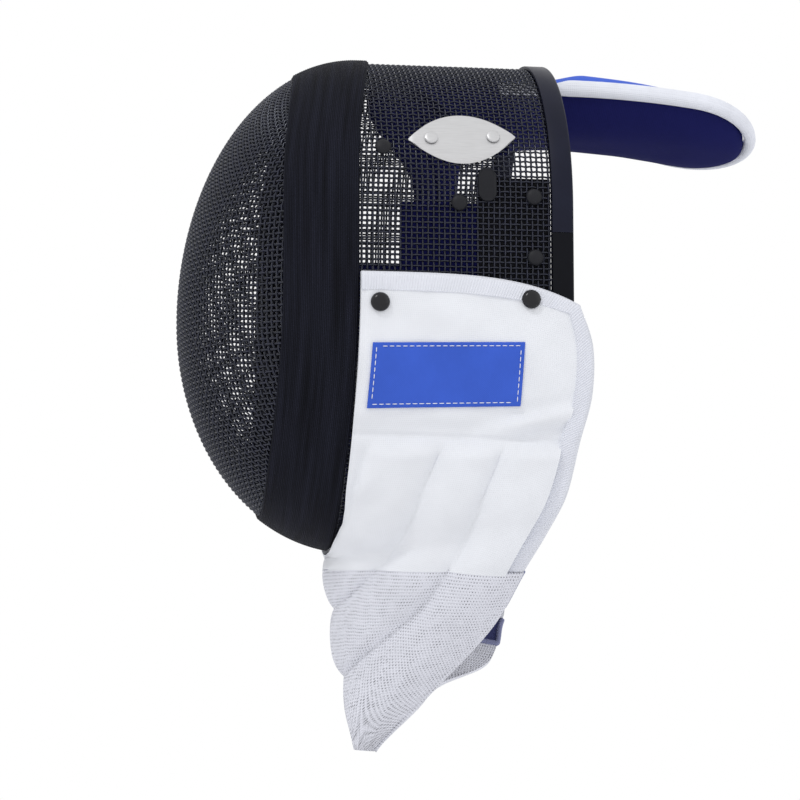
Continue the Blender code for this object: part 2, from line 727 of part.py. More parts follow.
def tongue(blue, navy, white):
    inset = PIPING_RADIUS + FIT
    rows, columns = TONGUE_ROWS, TONGUE_COLUMNS
    shares = [1 - (1 - index / rows) ** 1.6 for index in range(rows)]
    places = [(share, mix(-1.0, 1.0, column / (columns - 1))) for share in shares for column in range(columns)]
    faces = grid_faces(rows, columns)
    tip = len(places)
    for column in range(columns - 1):
        faces.append([(rows - 1) * columns + column, (rows - 1) * columns + column + 1, tip])
    places.append((1.0, 0.0))

    def surface(height, power, offset):
        return [tongue_point(share, across, tongue_body(share, across, height, power) + offset, inset)
                for share, across in places]

    shell("tongue_cover", faces, surface(TONGUE_CROWN, 2.0, 0.0),
          surface(TONGUE_CROWN, 2.0, -COVER_WALL), blue)
    shell("tongue_lining", faces, surface(TONGUE_CROWN, 2.0, -COVER_WALL - FIT),
          surface(-TONGUE_DEPTH, 2.6, -COVER_WALL - 2 * FIT - 0.001), navy)

    path = [(share, -1.0) for share in shares] + [(1.0, 0.0)] + [(share, 1.0) for share in reversed(shares)]
    sections = []
    line = [tongue_point(share, across, -COVER_WALL) for share, across in path]
    for index, centre in enumerate(line):
        run = (line[min(index + 1, len(line) - 1)] - line[max(index - 1, 0)]).normalized()
        side = run.cross(Vector((0, 0, 1))).normalized()
        up = side.cross(run)
        ring = []
        for step in range(8):
            angle = 2 * pi * step / 8
            ring.append(centre + (side * cos(angle) + up * sin(angle)) * PIPING_RADIUS)
        sections.append(ring)
    sweep("tongue_piping", sections, white)


def main():
    clear_scene()
    black_mesh = material("black_mesh", (0.02, 0.02, 0.03), 0.45, 0.3)
    band = material("band", (0.012, 0.013, 0.018), 0.85)
    grey_plastic = material("grey_plastic", (0.035, 0.037, 0.045), 0.35)
    black_plastic = material("black_plastic", (0.012, 0.012, 0.014), 0.4)
    white_cloth = material("white_cloth", (0.82, 0.83, 0.87), 0.9)
    silver_cloth = material("silver_cloth", (0.68, 0.69, 0.73), 0.7, 0.2)
    white_tape = material("white_tape", (0.80, 0.81, 0.86), 0.85)
    blue_cloth = material("blue_cloth", (0.05, 0.12, 0.60), 0.8)
    navy_cloth = material("navy_cloth", (0.015, 0.015, 0.12), 0.85)
    steel = material("steel", (0.65, 0.66, 0.67), 0.35, 0.9)
    black_strap = material("black_strap", (0.012, 0.012, 0.015), 0.9)

    face_mesh(black_mesh)
    crown_mesh(black_mesh)
    seam_band(band)
    trims(grey_plastic, black_plastic)
    bib(white_cloth, silver_cloth, white_tape)
    label_patch(blue_cloth)
    hardware(black_plastic, steel)
    pads(navy_cloth, black_strap)
    tongue(blue_cloth, navy_cloth, white_tape)


main()
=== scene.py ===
"""Looks of a fencing mask: woven wire dome and crown, ribbed seam band, rear trim, padded bib with
quilted throat and knitted tip, tape, patch, badge plate, rivets, studs, pads, strap and tongue."""

import bmesh
import bpy
import numpy as np
from mathutils import Matrix, Vector, noise


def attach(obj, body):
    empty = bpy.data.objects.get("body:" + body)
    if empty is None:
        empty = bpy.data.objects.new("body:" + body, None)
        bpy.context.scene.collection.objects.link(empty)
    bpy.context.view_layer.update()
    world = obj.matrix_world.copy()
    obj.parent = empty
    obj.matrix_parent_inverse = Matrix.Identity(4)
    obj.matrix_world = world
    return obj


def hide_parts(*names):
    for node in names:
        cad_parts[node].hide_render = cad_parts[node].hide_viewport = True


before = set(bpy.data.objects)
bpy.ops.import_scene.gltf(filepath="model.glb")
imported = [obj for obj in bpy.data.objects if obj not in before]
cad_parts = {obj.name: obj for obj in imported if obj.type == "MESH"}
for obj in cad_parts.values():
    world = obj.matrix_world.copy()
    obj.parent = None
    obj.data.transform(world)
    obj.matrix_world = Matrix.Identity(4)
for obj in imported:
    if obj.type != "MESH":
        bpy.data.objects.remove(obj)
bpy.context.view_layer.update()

pi = np.pi

# Mesh shell
HALF_WIDTH = 0.105
SIDE_HEIGHT = 0.076
JAW_DEPTH = 0.1162
MESH_WALL = 0.002
DOME_X = -0.060
DOME_LENGTH = 0.106
NOSE_DROP = 0.160
FIT = 0.0003
WIRE_PITCH = 0.0032
CROWN_WIRE = 0.00064
DOME_WIRE = 0.00080
UNDER_BAND = 0.006
NET_PASSES = 14
CAD_STEPS = 48

# Seam band
BAND_REAR_CROWN = -0.052
BAND_REAR_SIDE = -0.068
BAND_REAR_CHIN = -0.0735
BAND_WIDTH_CROWN = 0.046
BAND_WIDTH_SIDE = 0.042
BAND_THICKNESS = 0.0018
BAND_RIBS = 38
RIB_DEPTH = 0.00022

# Rear edge and its trim
REAR_CROWN_X = 0.0535
REAR_SIDE_X = 0.0543
REAR_CHIN_X = -0.0525
TRIM_LEG = 0.0105
TRIM_WALL = 0.0017
TRIM_JOINT_DROP = 0.120

# Bib
BIB_TOP_DROP = 0.146
BIB_THROAT = 0.1169
BIB_REACH = 0.137
BIB_THICKNESS = 0.005
BIB_STANDOFF = 0.0026
PUFF = 0.0055
TAPE_ROWS = 0.41
TAPE_SHARE = 0.075
TAPE_LIFT = 0.0004
TAPE_RIB = 0.0016
FRONT_MARGIN = 0.085
HEM_ROW = 6.72
EDGING_RADIUS = 0.0017
TUCK = 0.0012
CHIN_PASSES = 140
SEARCH_PASSES = 60

# Pads, strap and tongue
CROWN_PAD = 0.014
CROWN_PAD_FRONT = -0.040
CROWN_PAD_REAR = 0.020
CROWN_PAD_DROP = 0.072
SIDE_PAD = 0.008
SIDE_PAD_FRONT = -0.044
SIDE_PAD_TOP = 0.104
SIDE_PAD_LOW = 0.206
ANCHOR_X = 0.0002
ANCHOR_WIDTH = 0.0432
ANCHOR_TOP = 0.0875
ANCHOR_LOW = 0.154
STRAP_WALL = 0.0022
STRAP_START = 0.004
STRAP_BEND = 0.018
STRAP_BOW = 0.034
STRAP_TOP = 0.102
STRAP_LOW = 0.138
STRAP_RIBS = 18
TONGUE_HALF_WIDTH = 0.045
TONGUE_ROOT_X = CROWN_PAD_REAR + FIT
TONGUE_LENGTH = 0.1704
TONGUE_CROWN = 0.0150
TONGUE_DEPTH = 0.0255
TONGUE_TAPER = 0.40
TONGUE_DROOP = 0.030
TONGUE_TWIST = 0.20
COVER_WALL = 0.0015
PIPING_RADIUS = 0.0038
PIPING_RIB = 0.0014

# Hardware
STUD_RADIUS = 0.0055
RIVET_RADIUS = 0.0048
PLATE_RIVET_RADIUS = 0.0040
PLATE_LENGTH = 0.063
PLATE_HEIGHT = 0.033
PLATE_WALL = 0.0010
PLATE_X = -0.0075
PLATE_DROP = 0.0647
PLATE_TILT = 0.06
PLATE_RIVET_SHARE = 0.29
HEAD_SHARE = 0.62
PATCH_X = -0.0190
PATCH_DROP = 0.2046
PATCH_LENGTH = 0.087
PATCH_HEIGHT = 0.0365
PATCH_WALL = 0.0012
PATCH_LEAN = 0.07
PATCH_TILT = 0.020
STITCH_INSET = 0.0022
STITCH_LENGTH = 0.0027
STITCH_GAP = 0.0011
STITCH_RADIUS = 0.00024
TAB_X = 0.0060
TAB_DROP = 0.0930
TAB_LENGTH = 0.020
TAB_WIDTH = 0.011
TAB_WALL = 0.0016

# Heights and runs worked out from the sizes above
CROWN_TOP = CROWN_PAD + 2 * FIT + MESH_WALL
ARCH_Z = CROWN_TOP - HALF_WIDTH
JAW_Z = ARCH_Z - SIDE_HEIGHT
CHIN_Z = JAW_Z - JAW_DEPTH
NOSE_Z = CROWN_TOP - NOSE_DROP
BIB_TOP_Z = CROWN_TOP - BIB_TOP_DROP
BIB_CHIN_Z = CHIN_Z - BIB_STANDOFF
BIB_SIDE = HALF_WIDTH + BIB_STANDOFF + BIB_THICKNESS
CHIN_ROW, LAME_ROW, LAST_ROW = 5, 6, 9
ARC_RUN = HALF_WIDTH * pi / 2
JAW_RUN = np.sqrt((HALF_WIDTH**2 + JAW_DEPTH**2) / 2) * pi / 2
HALF_RUN = ARC_RUN + SIDE_HEIGHT + JAW_RUN
CHORD_SAG = HALF_WIDTH * (1 - np.cos(HALF_RUN / CAD_STEPS / HALF_WIDTH))
PAD_SEAT = MESH_WALL + FIT + CHORD_SAG
BIB_HEIGHT = BIB_TOP_Z - BIB_CHIN_Z + BIB_THROAT

# Heads turned from pairs: share of the radius, share of the height
STUD_PROFILE = [(0.96, 0.0), (1.0, 0.06), (1.0, 0.20), (0.97, 0.36), (0.90, 0.55), (0.78, 0.73),
                (0.62, 0.87), (0.42, 0.96), (0.2, 0.99), (0.05, 1.0)]
RIVET_PROFILE = [(0.97, 0.0), (1.0, 0.08), (0.99, 0.24), (0.93, 0.44), (0.82, 0.62), (0.64, 0.78),
                 (0.42, 0.88), (0.2, 0.93), (0.05, 0.94)]
FLAT_PROFILE = [(0.97, 0.0), (1.0, 0.1), (0.99, 0.5), (0.94, 0.72), (0.84, 0.84), (0.5, 0.92), (0.05, 0.95)]

# Camera, light and floor
AZIMUTH, ELEVATION, DISTANCE = np.radians(-8.0), np.radians(-7.0), 1.5
FRAME_PIXELS = 800
PIXEL = 0.00061
TARGET = Vector((-0.030, 0.0, CROWN_TOP - 0.2057))
SENSOR = 36.0
FLOOR_Z = -0.60
FLOOR_RADIUS = 3.5
WORLD_LIGHT = 1.0
LIGHTS = [
    # name, place, size in metres, watts
    ("key", (-1.1, -1.3, 1.7), 0.30, 11.0),
    ("fill", (1.6, -1.2, 0.4), 1.4, 1.0),
    ("back", (0.6, 1.6, 1.0), 1.2, 3.0),
]

# Bib rows from top to tip, at its rear edge; shares of the driving sizes. b, c: quilting lines, which
# have run off the front edge where they are below zero
BIB_ROWS = np.array([
    # front, x, y, z, wrap, inset, b, c
    (0.00, 0.925, 0.995, 0.062, 0.00, 0.000, 0.40, 0.67),
    (0.18, 0.975, 1.010, 0.150, 0.00, 0.000, 0.40, 0.67),
    (0.39, 0.970, 1.010, 0.255, 0.05, 0.000, 0.40, 0.67),
    (0.60, 0.920, 0.985, 0.355, 0.25, 0.000, 0.40, 0.67),
    (0.80, 0.870, 0.940, 0.465, 0.60, 0.004, 0.34, 0.62),
    (1.00, 0.800, 0.880, 0.540, 0.90, 0.012, 0.28, 0.60),
    (0.08, 0.705, 0.820, 0.625, 1.00, 0.012, 0.21, 0.58),
    (0.325, 0.600, 0.640, 0.735, 1.00, 0.034, -0.06, 0.42),
    (0.625, 0.400, 0.380, 0.860, 1.00, 0.070, -0.36, 0.00),
    (1.00, 0.160, 0.060, 1.000, 1.00, 0.115, -0.60, -0.36),
])
FRONT, REAR_X, REAR_Y, REAR_Z, WRAP, INSET, LINE_B, LINE_C = range(8)
# How the right flap hangs: back, in and down at each row, as shares of BIB_REACH
RIGHT_SWING = np.array([
    # back, inward, down
    (0.00, 0.00, 0.00),
    (0.00, 0.00, 0.00),
    (0.00, 0.00, 0.00),
    (0.00, 0.00, 0.00),
    (0.02, 0.02, 0.03),
    (0.05, 0.07, 0.09),
    (0.12, 0.14, 0.165),
    (0.155, 0.12, 0.125),
    (0.045, 0.03, 0.045),
    (0.02, 0.00, 0.01),
])


# Small maths on arrays

def mix(a, b, share):
    return a + (b - a) * share


def smooth(share):
    share = np.clip(share, 0.0, 1.0)
    return share * share * (3 - 2 * share)


def stack(x, y, z):
    return np.stack(np.broadcast_arrays(x, y, z), axis=-1).astype(float)


def unit(vectors):
    return vectors / np.maximum(np.linalg.norm(vectors, axis=-1, keepdims=True), 1e-12)


def run_along(line):
    """How far each point of a line lies from its start."""
    return np.concatenate([[0], np.cumsum(np.linalg.norm(np.diff(line, axis=0), axis=-1))])


def at_runs(wanted, run, line):
    """Points of a line at wanted distances from its start."""
    return np.stack([np.interp(wanted, run, line[:, k]) for k in range(3)], axis=-1)


def facing(normals, away):
    """The normals, turned round where they point against another direction."""
    return normals * np.sign((normals * away).sum(-1, keepdims=True))


def grid(first, second):
    """Two lists of stations as a full grid, first down the rows and second along the columns."""
    return np.meshgrid(np.asarray(first, float), np.asarray(second, float), indexing="ij")


# The mask's surface

def half_profile(share, lift=0.0):
    """Half width and height of the outline, from the crown (0) to the chin (1)."""
    run = share * HALF_RUN
    arc = np.clip(run / HALF_WIDTH, 0, pi / 2)
    drop = np.clip(run - ARC_RUN, 0, SIDE_HEIGHT)
    jaw = np.clip((run - ARC_RUN - SIDE_HEIGHT) / JAW_RUN, 0, 1) * pi / 2
    radius = HALF_WIDTH + lift
    z = ARCH_Z + radius * np.cos(arc) - drop - (JAW_DEPTH + lift) * np.sin(jaw)
    return radius * np.sin(arc) * np.cos(jaw), z


def share_at(z):
    """Where the outline passes a height, as a share of its run."""
    arc = HALF_WIDTH * np.arccos(np.clip((z - ARCH_Z) / HALF_WIDTH, 0, 1))
    side = np.clip(ARCH_Z - z, 0, SIDE_HEIGHT)
    jaw = JAW_RUN * np.arcsin(np.clip((JAW_Z - z) / JAW_DEPTH, 0, 1)) / (pi / 2)
    return (arc + side + jaw) / HALF_RUN


def mask_point(share, x, lift=0.0):
    """Points of the mesh surface; the share is below zero on the left and above it on the right."""
    y, z = half_profile(np.abs(share), lift)
    forward = np.clip((DOME_X - x) / DOME_LENGTH, 0, 1)
    shrink = np.sqrt(1 - forward**2)
    x = np.where(forward > 0, DOME_X - (DOME_LENGTH + lift) * forward, x)
    return stack(x, np.sign(share) * y * shrink, NOSE_Z + (z - NOSE_Z) * shrink)


def band_rear(share):
    x = mix(BAND_REAR_CROWN, BAND_REAR_SIDE, smooth(share / 0.36))
    return mix(x, BAND_REAR_CHIN, smooth((share - 0.50) / 0.36))


def band_front(share):
    return band_rear(share) - mix(BAND_WIDTH_CROWN, BAND_WIDTH_SIDE, smooth(share / 0.36))


def rear_edge(share):
    x = mix(REAR_CROWN_X, REAR_SIDE_X, smooth(share / 0.40))
    return mix(x, REAR_CHIN_X, smooth((share - 0.62) / 0.36))


def normals_of(surface, a, b, step=1e-4):
    """Unit normals of a surface given as a function of two arrays."""
    down = surface(a + step, b) - surface(a - step, b)
    along = surface(a, b + step) - surface(a, b - step)
    return unit(np.cross(down, along))


# Building meshes

def linked(name, data):
    made = bpy.data.objects.new(name, data)
    bpy.context.scene.collection.objects.link(made)
    return made


def as_object(name, points, faces, finish, slot, replaces=(), flat=None, closed=True, sharp=0.9):
    """A smooth mesh piece that rides on the frame and stands for the CAD nodes that it names."""
    mesh = bpy.data.meshes.new(name)
    mesh.from_pydata(np.asarray(points, float).tolist(), [], [list(map(int, face)) for face in faces])
    if closed:
        shape = bmesh.new()
        shape.from_mesh(mesh)
        bmesh.ops.recalc_face_normals(shape, faces=shape.faces)
        shape.to_mesh(mesh)
        shape.free()
    mesh.shade_smooth()
    mesh.set_sharp_from_angle(angle=sharp)
    if flat is not None:
        layer = mesh.attributes.new("flat", "FLOAT_VECTOR", "POINT")
        layer.data.foreach_set("vector", np.asarray(flat, np.float32).ravel())
    mesh.materials.append(finish)
    piece = linked(name, mesh)
    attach(piece, "root")
    if replaces:
        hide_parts(*replaces)
    return piece


def quads(a, b, c, d):
    return np.stack([a, b, c, d], axis=-1).reshape(-1, 4)


def wall(outer, inner, around=False):
    """Points and faces of a closed wall between two grids of points."""
    rows, columns = outer.shape[:2]
    index = np.arange(rows * columns).reshape(rows, columns)
    if around:
        index = np.hstack([index, index[:, :1]])
    inside = index + rows * columns
    faces = [
        quads(index[:-1, :-1], index[:-1, 1:], index[1:, 1:], index[1:, :-1]),
        quads(inside[:-1, :-1], inside[1:, :-1], inside[1:, 1:], inside[:-1, 1:]),
        quads(index[0, :-1], inside[0, :-1], inside[0, 1:], index[0, 1:]),
        quads(index[-1, :-1], index[-1, 1:], inside[-1, 1:], inside[-1, :-1]),
    ]
    if not around:
        faces.append(quads(index[:-1, 0], index[1:, 0], inside[1:, 0], inside[:-1, 0]))
        faces.append(quads(index[:-1, -1], inside[:-1, -1], inside[1:, -1], index[1:, -1]))
    return np.concatenate([outer.reshape(-1, 3), inner.reshape(-1, 3)]), np.concatenate(faces)


def flat_of(points):
    """How far along and across the cloth each point of a grid lies, in metres."""
    along = np.zeros(points.shape[:2])
    down = np.zeros(points.shape[:2])
    along[:, 1:] = np.cumsum(np.linalg.norm(np.diff(points, axis=1), axis=-1), axis=1)
    down[1:] = np.cumsum(np.linalg.norm(np.diff(points, axis=0), axis=-1), axis=0)
    return stack(along, down, 0.0)


def walled(name, outer, inner, finish, slot, replaces=(), around=False, sharp=0.9):
    points, faces = wall(outer, inner, around)
    flat = flat_of(outer).reshape(-1, 3)
    return as_object(name, points, faces, finish, slot, replaces, np.concatenate([flat, flat]), sharp=sharp)


def tube(line, radii, side_hint, sides=12):
    """Rings of points round a line; the radii may change along it."""
    run = unit(np.gradient(line, axis=0))
    side = unit(np.cross(run, side_hint))
    up = np.cross(side, run)
    turn = np.linspace(0, 2 * pi, sides, endpoint=False)
    ring = np.cos(turn)[None, :, None] * side[:, None] + np.sin(turn)[None, :, None] * up[:, None]
    return line[:, None] + ring * np.asarray(radii)[..., None, None]


def capped(rings):
    """Faces of a tube of rings with both ends closed."""
    count, sides = rings.shape[:2]
    index = np.arange(count * sides).reshape(count, sides)
    index = np.hstack([index, index[:, :1]])
    faces = [list(face) for face in quads(index[:-1, :-1], index[:-1, 1:], index[1:, 1:], index[1:, :-1])]
    return faces + [list(index[0, :-1][::-1]), list(index[-1, :-1])]


def from_rings(name, rings, finish, slot, replaces=(), flat=None, sharp=0.9):
    return as_object(name, rings.reshape(-1, 3), capped(rings), finish, slot, replaces, flat, sharp=sharp)


def joined(parts):
    """Several (points, faces) lists as one."""
    points, faces, first = [], [], 0
    for some_points, some_faces in parts:
        points.append(np.asarray(some_points).reshape(-1, 3))
        faces += [[index + first for index in face] for face in some_faces]
        first += len(points[-1])
    return np.concatenate(points), faces


# Finishes

class Finish:
    """A Principled material put together from small procedural textures."""

    def __init__(self, name, colour, roughness, **sockets):
        self.material = bpy.data.materials.new(name)
        self.material.use_nodes = True
        self.tree = self.material.node_tree
        self.shader = self.tree.nodes["Principled BSDF"]
        self.shader.inputs["Base Color"].default_value = (*colour, 1.0)
        self.shader.inputs["Roughness"].default_value = roughness
        for socket, value in sockets.items():
            self.shader.inputs[socket.replace("_", " ")].default_value = value

    def feed(self, socket, value):
        """Gives a socket a link or a plain value."""
        if hasattr(value, "is_output"):
            self.tree.links.new(value, socket)
        else:
            socket.default_value = value

    def node(self, kind, **inputs):
        made = self.tree.nodes.new(kind)
        for name, value in inputs.items():
            self.feed(made.inputs[name.replace("_", " ")], value)
        return made

    def flat(self):
        """Where a point lies on the cut cloth, in metres."""
        found = self.node("ShaderNodeAttribute")
        found.attribute_name = "flat"
        return found.outputs["Vector"]

    def place(self):
        return self.node("ShaderNodeTexCoord").outputs["Object"]

    def noise(self, vector, size, detail=3.0, stretch=(1, 1, 1)):
        scaled = self.node("ShaderNodeMapping", Vector=vector, Scale=stretch).outputs[0]
        return self.node("ShaderNodeTexNoise", Vector=scaled, Scale=1 / size, Detail=detail).outputs[0]

    def waves(self, vector, period, axis="X", turn=0.0):
        """Even ridges across an axis; one full wave of the texture takes 2 pi / 20 of its scale."""
        turned = self.node("ShaderNodeMapping", Vector=vector, Rotation=(0, 0, turn))
        wave = self.node("ShaderNodeTexWave", Vector=turned.outputs[0], Scale=2 * pi / 20 / period)
        wave.bands_direction = axis
        return wave.outputs["Fac"]

    def maths(self, operation, a, b):
        made = self.node("ShaderNodeMath")
        made.operation = operation
        for socket, value in zip(made.inputs, (a, b)):
            self.feed(socket, value)
        return made.outputs[0]

    def blend(self, factor, a, b, kind="MIX"):
        """Two colours blended."""
        made = self.tree.nodes.new("ShaderNodeMix")
        made.data_type = "RGBA"
        made.blend_type = kind
        for name, value in (("Factor", factor), ("A", a), ("B", b)):
            self.feed(made.inputs[name], value)
        return made.outputs["Result"]

    def relief(self, height, depth):
        """Adds a height texture, in metres, to the surface's bump."""
        bump = self.node("ShaderNodeBump", Height=height, Distance=depth, Strength=1.0)
        normal = self.shader.inputs["Normal"]
        if normal.links:
            self.tree.links.new(normal.links[0].from_socket, bump.inputs["Normal"])
        self.tree.links.new(bump.outputs[0], normal)
        return self

    def tint(self, factor, low, high, start=0.3, end=0.7):
        """Shades the colour from low to high times itself, as the factor rises from start to end."""
        ramp = self.node("ShaderNodeMapRange", Value=factor, From_Min=start, From_Max=end)
        shade = self.blend(ramp.outputs[0], (*low, 1.0), (*high, 1.0))
        base = self.shader.inputs["Base Color"]
        last = base.links[0].from_socket if base.links else tuple(base.default_value)
        self.tree.links.new(self.blend(1.0, last, shade, "MULTIPLY"), base)
        return self

    def roughen(self, factor, low, high):
        ramp = self.node("ShaderNodeMapRange", Value=factor, To_Min=low, To_Max=high)
        self.tree.links.new(ramp.outputs[0], self.shader.inputs["Roughness"])
        return self


def grey(value):
    return (value, value, value)


def wire_finish():
    made = Finish("coated_wire", (0.0062, 0.0068, 0.0135), 0.20, Specular_IOR_Level=0.52,
                  Specular_Tint=(0.85, 0.9, 1.0, 1.0))
    # Random light and dark patches on the coating: partly the coating's own uneven tone, partly painted
    # highlight, the light bluish patches standing in for the wires' glints.
    mottle = made.noise(made.place(), 0.004)
    made.tint(mottle, grey(0.6), (1.7, 1.65, 1.9))
    made.roughen(mottle, 0.12, 0.30)
    return made.relief(made.noise(made.place(), 0.0004), 0.00004).material


def band_finish():
    made = Finish("ribbed_elastic", (0.0066, 0.0072, 0.0125), 0.8, Specular_IOR_Level=0.10)
    loops = made.waves(made.flat(), 0.0009, "X")
    ribs = made.waves(made.flat(), BAND_WIDTH_SIDE / BAND_RIBS, "Y")
    made.tint(made.noise(made.flat(), 0.004, 3.0, stretch=(0.05, 1, 1)), grey(0.55), grey(1.6))
    # Painted shade and highlight along the ribs: stripes at the rib pitch, darker and lighter, stand in for
    # light falling on the rib tops and into the grooves.
    made.tint(ribs, grey(0.55), grey(1.35), 0.1, 0.9)
    made.tint(made.noise(made.place(), 0.0006, 2.0), grey(0.8), grey(1.3))
    return made.relief(loops, 0.00008).relief(made.noise(made.place(), 0.0008), 0.0001).material


def plastic(name, colour, roughness, specular=0.35, grain=0.0006, depth=0.00003):
    """Moulded plastic with a fine grain, dulled here and there by handling."""
    made = Finish(name, colour, roughness, Specular_IOR_Level=specular)
    wear = made.noise(made.place(), 0.018, 5.0)
    made.tint(wear, grey(0.88), grey(1.14))
    made.roughen(wear, roughness - 0.06, roughness + 0.1)
    return made.relief(made.noise(made.place(), grain), depth).material


def woven(name, colour, thread, depth, mottle=0.05, sheen=0.0, roughness=0.9, turn=0.0):
    """Plain weave: crossing threads on the cut cloth, with slight shade changes."""
    made = Finish(name, colour, roughness, Sheen_Weight=sheen, Specular_IOR_Level=0.2)
    flat = made.flat()
    warp, weft = made.waves(flat, thread, "X", turn), made.waves(flat, thread, "Y", turn)
    threads = made.maths("MAXIMUM", warp, weft)
    made.tint(made.noise(flat, 0.03), grey(1 - mottle), grey(1 + 0.3 * mottle))
    made.tint(threads, grey(1 - 1.2 * mottle), grey(1.0), 0.2, 0.9)
    made.relief(threads, depth)
    return made.relief(made.noise(flat, 4 * thread), 0.6 * depth).material


def knit(name, colour, row, column, depth, low=0.55, roughness=0.85, turn=0.0, specular=0.25):
    """Knitted cloth: rows of loops with small dark gaps between them."""
    made = Finish(name, colour, roughness, Specular_IOR_Level=specular)
    flat = made.flat()
    rows, loops = made.waves(flat, row, "Y", turn), made.waves(flat, column, "X", turn)
    gaps = made.maths("MULTIPLY", made.maths("SUBTRACT", 1.0, rows), made.maths("SUBTRACT", 1.0, loops))
    strength = made.maths("MULTIPLY", gaps, made.noise(flat, 0.006, 4.0))
    made.tint(strength, grey(1.0), grey(low), 0.25, 0.55)
    made.tint(made.noise(flat, 0.025), grey(0.96), grey(1.02))
    made.relief(made.maths("ADD", rows, made.maths("MULTIPLY", loops, 0.5)), depth)
    return made.relief(made.noise(flat, 0.5 * column), 0.4 * depth).material


def brushed(name, colour, roughness):
    made = Finish(name, colour, roughness, Metallic=0.9)
    lines = made.noise(made.place(), 0.0006, 4.0, stretch=(0.06, 1, 1))
    made.tint(lines, grey(0.93), grey(1.04))
    made.roughen(lines, roughness - 0.07, roughness + 0.1)
    return made.relief(lines, 0.00002).material


# Woven wire

def wire_tubes(nodes, normals, there, around, along_rows, radius):
    """Four-sided wires through a grid of crossings; every second crossing passes over, the rest under."""
    rows, columns = nodes.shape[:2]
    i, j = np.meshgrid(np.arange(rows), np.arange(columns), indexing="ij")
    over = np.where((i + j) % 2 == 0, 1.0, -1.0) * (1 if along_rows else -1)
    centre = nodes + normals * (over * radius)[..., None]
    axis = 1 if along_rows else 0
    if around and along_rows:
        run = np.roll(nodes, -1, 1) - np.roll(nodes, 1, 1)
    else:
        run = np.gradient(nodes, axis=axis)
    across = unit(np.cross(unit(run), normals))
    ring = np.stack([centre + normals * radius, centre + across * radius,
                     centre - normals * radius, centre - across * radius], axis=2)
    index = np.arange(rows * columns * 4).reshape(rows, columns, 4)
    both = there & np.roll(there, -1, axis)
    if not (around and along_rows):
        np.moveaxis(both, axis, 0)[-1] = False
    this, after = index[both], np.roll(index, -1, axis)[both]
    faces = [quads(this[:, k], this[:, (k + 1) % 4], after[:, (k + 1) % 4], after[:, k]) for k in range(4)]
    return ring.reshape(-1, 3), np.concatenate(faces)


def wire_cloth(name, nodes, normals, there, radius, finish, slot, replaces, around=False):
    """Both families of wires as one piece, with the unused points left out."""
    parts = [wire_tubes(nodes, normals, there, around, along, radius) for along in (True, False)]
    points = np.concatenate([part[0] for part in parts])
    faces = np.concatenate([parts[0][1], parts[1][1] + len(parts[0][0])])
    used = np.unique(faces)
    renumber = np.zeros(len(points), int)
    renumber[used] = np.arange(len(used))
    return as_object(name, points[used], renumber[faces], finish, slot, replaces, closed=False, sharp=3.0)


def crown_wires(finish):
    """Rolled wire cloth: hoops at even steps along X, and straight wires from the band to the rear edge."""
    around = 2 * round(HALF_RUN / WIRE_PITCH)
    share = np.linspace(-1, 1, around, endpoint=False)
    x = np.arange(BAND_REAR_CHIN - UNDER_BAND, REAR_SIDE_X, WIRE_PITCH)
    xs, shares = grid(x, share)
    there = (xs > band_rear(np.abs(shares)) - UNDER_BAND) & (xs < rear_edge(np.abs(shares)) + FIT)
    surface = lambda a, b: mask_point(b, a, -MESH_WALL / 2)
    nodes = surface(xs, shares)
    away = (nodes - np.array([0, 0, (ARCH_Z + JAW_Z) / 2])) * np.array([0, 1, 1])
    normals = facing(normals_of(surface, xs, shares), away)
    return wire_cloth("crown_wires", nodes, normals, there, CROWN_WIRE, finish, "crown_mesh", ["crown_mesh"],
                      around=True)


def outline_share(y, z):
    """How far out a point lies, from the dome's axis (0) to the mask's outline (1), and how far out
    that outline is."""
    reach = np.maximum(np.hypot(y, z), 1e-9)
    dy, dz = np.abs(y) / reach, z / reach
    rise, fall = ARCH_Z - NOSE_Z, NOSE_Z - JAW_Z
    top = dz * rise + np.sqrt(np.maximum((dz * rise) ** 2 + HALF_WIDTH**2 - rise**2, 0))
    side = HALF_WIDTH / np.maximum(dy, 1e-9)
    a = (dy / HALF_WIDTH) ** 2 + (dz / JAW_DEPTH) ** 2
    b = 2 * dz * fall / JAW_DEPTH**2
    c = (fall / JAW_DEPTH) ** 2 - 1
    low = (-b + np.sqrt(np.maximum(b * b - 4 * a * c, 0))) / (2 * a)
    edge = np.where(side * dz > rise, top, np.where(side * dz < -fall, low, side))
    return reach / edge, edge


def on_dome(points):
    """Points moved onto the dome, straight out from its centre."""
    centre = np.array([DOME_X, 0, NOSE_Z])
    local = points - centre
    share, _ = outline_share(local[..., 1], local[..., 2])
    size = np.sqrt((local[..., 0] / DOME_LENGTH) ** 2 + share**2)
    return centre + local / np.maximum(size, 1e-9)[..., None]


def dome_line(direction, count):
    """Even steps along the dome from the nose, in the plane of one direction."""
    turn = np.linspace(0, 0.99 * pi / 2, 4000)
    _, edge = outline_share(*[np.array([part]) for part in direction])
    x = DOME_X - DOME_LENGTH * np.cos(turn)
    out = edge * np.sin(turn)
    run = np.concatenate([[0], np.cumsum(np.hypot(np.diff(x), np.diff(out)))])
    wanted = np.arange(count) * WIRE_PITCH
    out = np.interp(wanted, run, out)
    return on_dome(stack(np.interp(wanted, run, x), direction[0] * out, NOSE_Z + direction[1] * out))


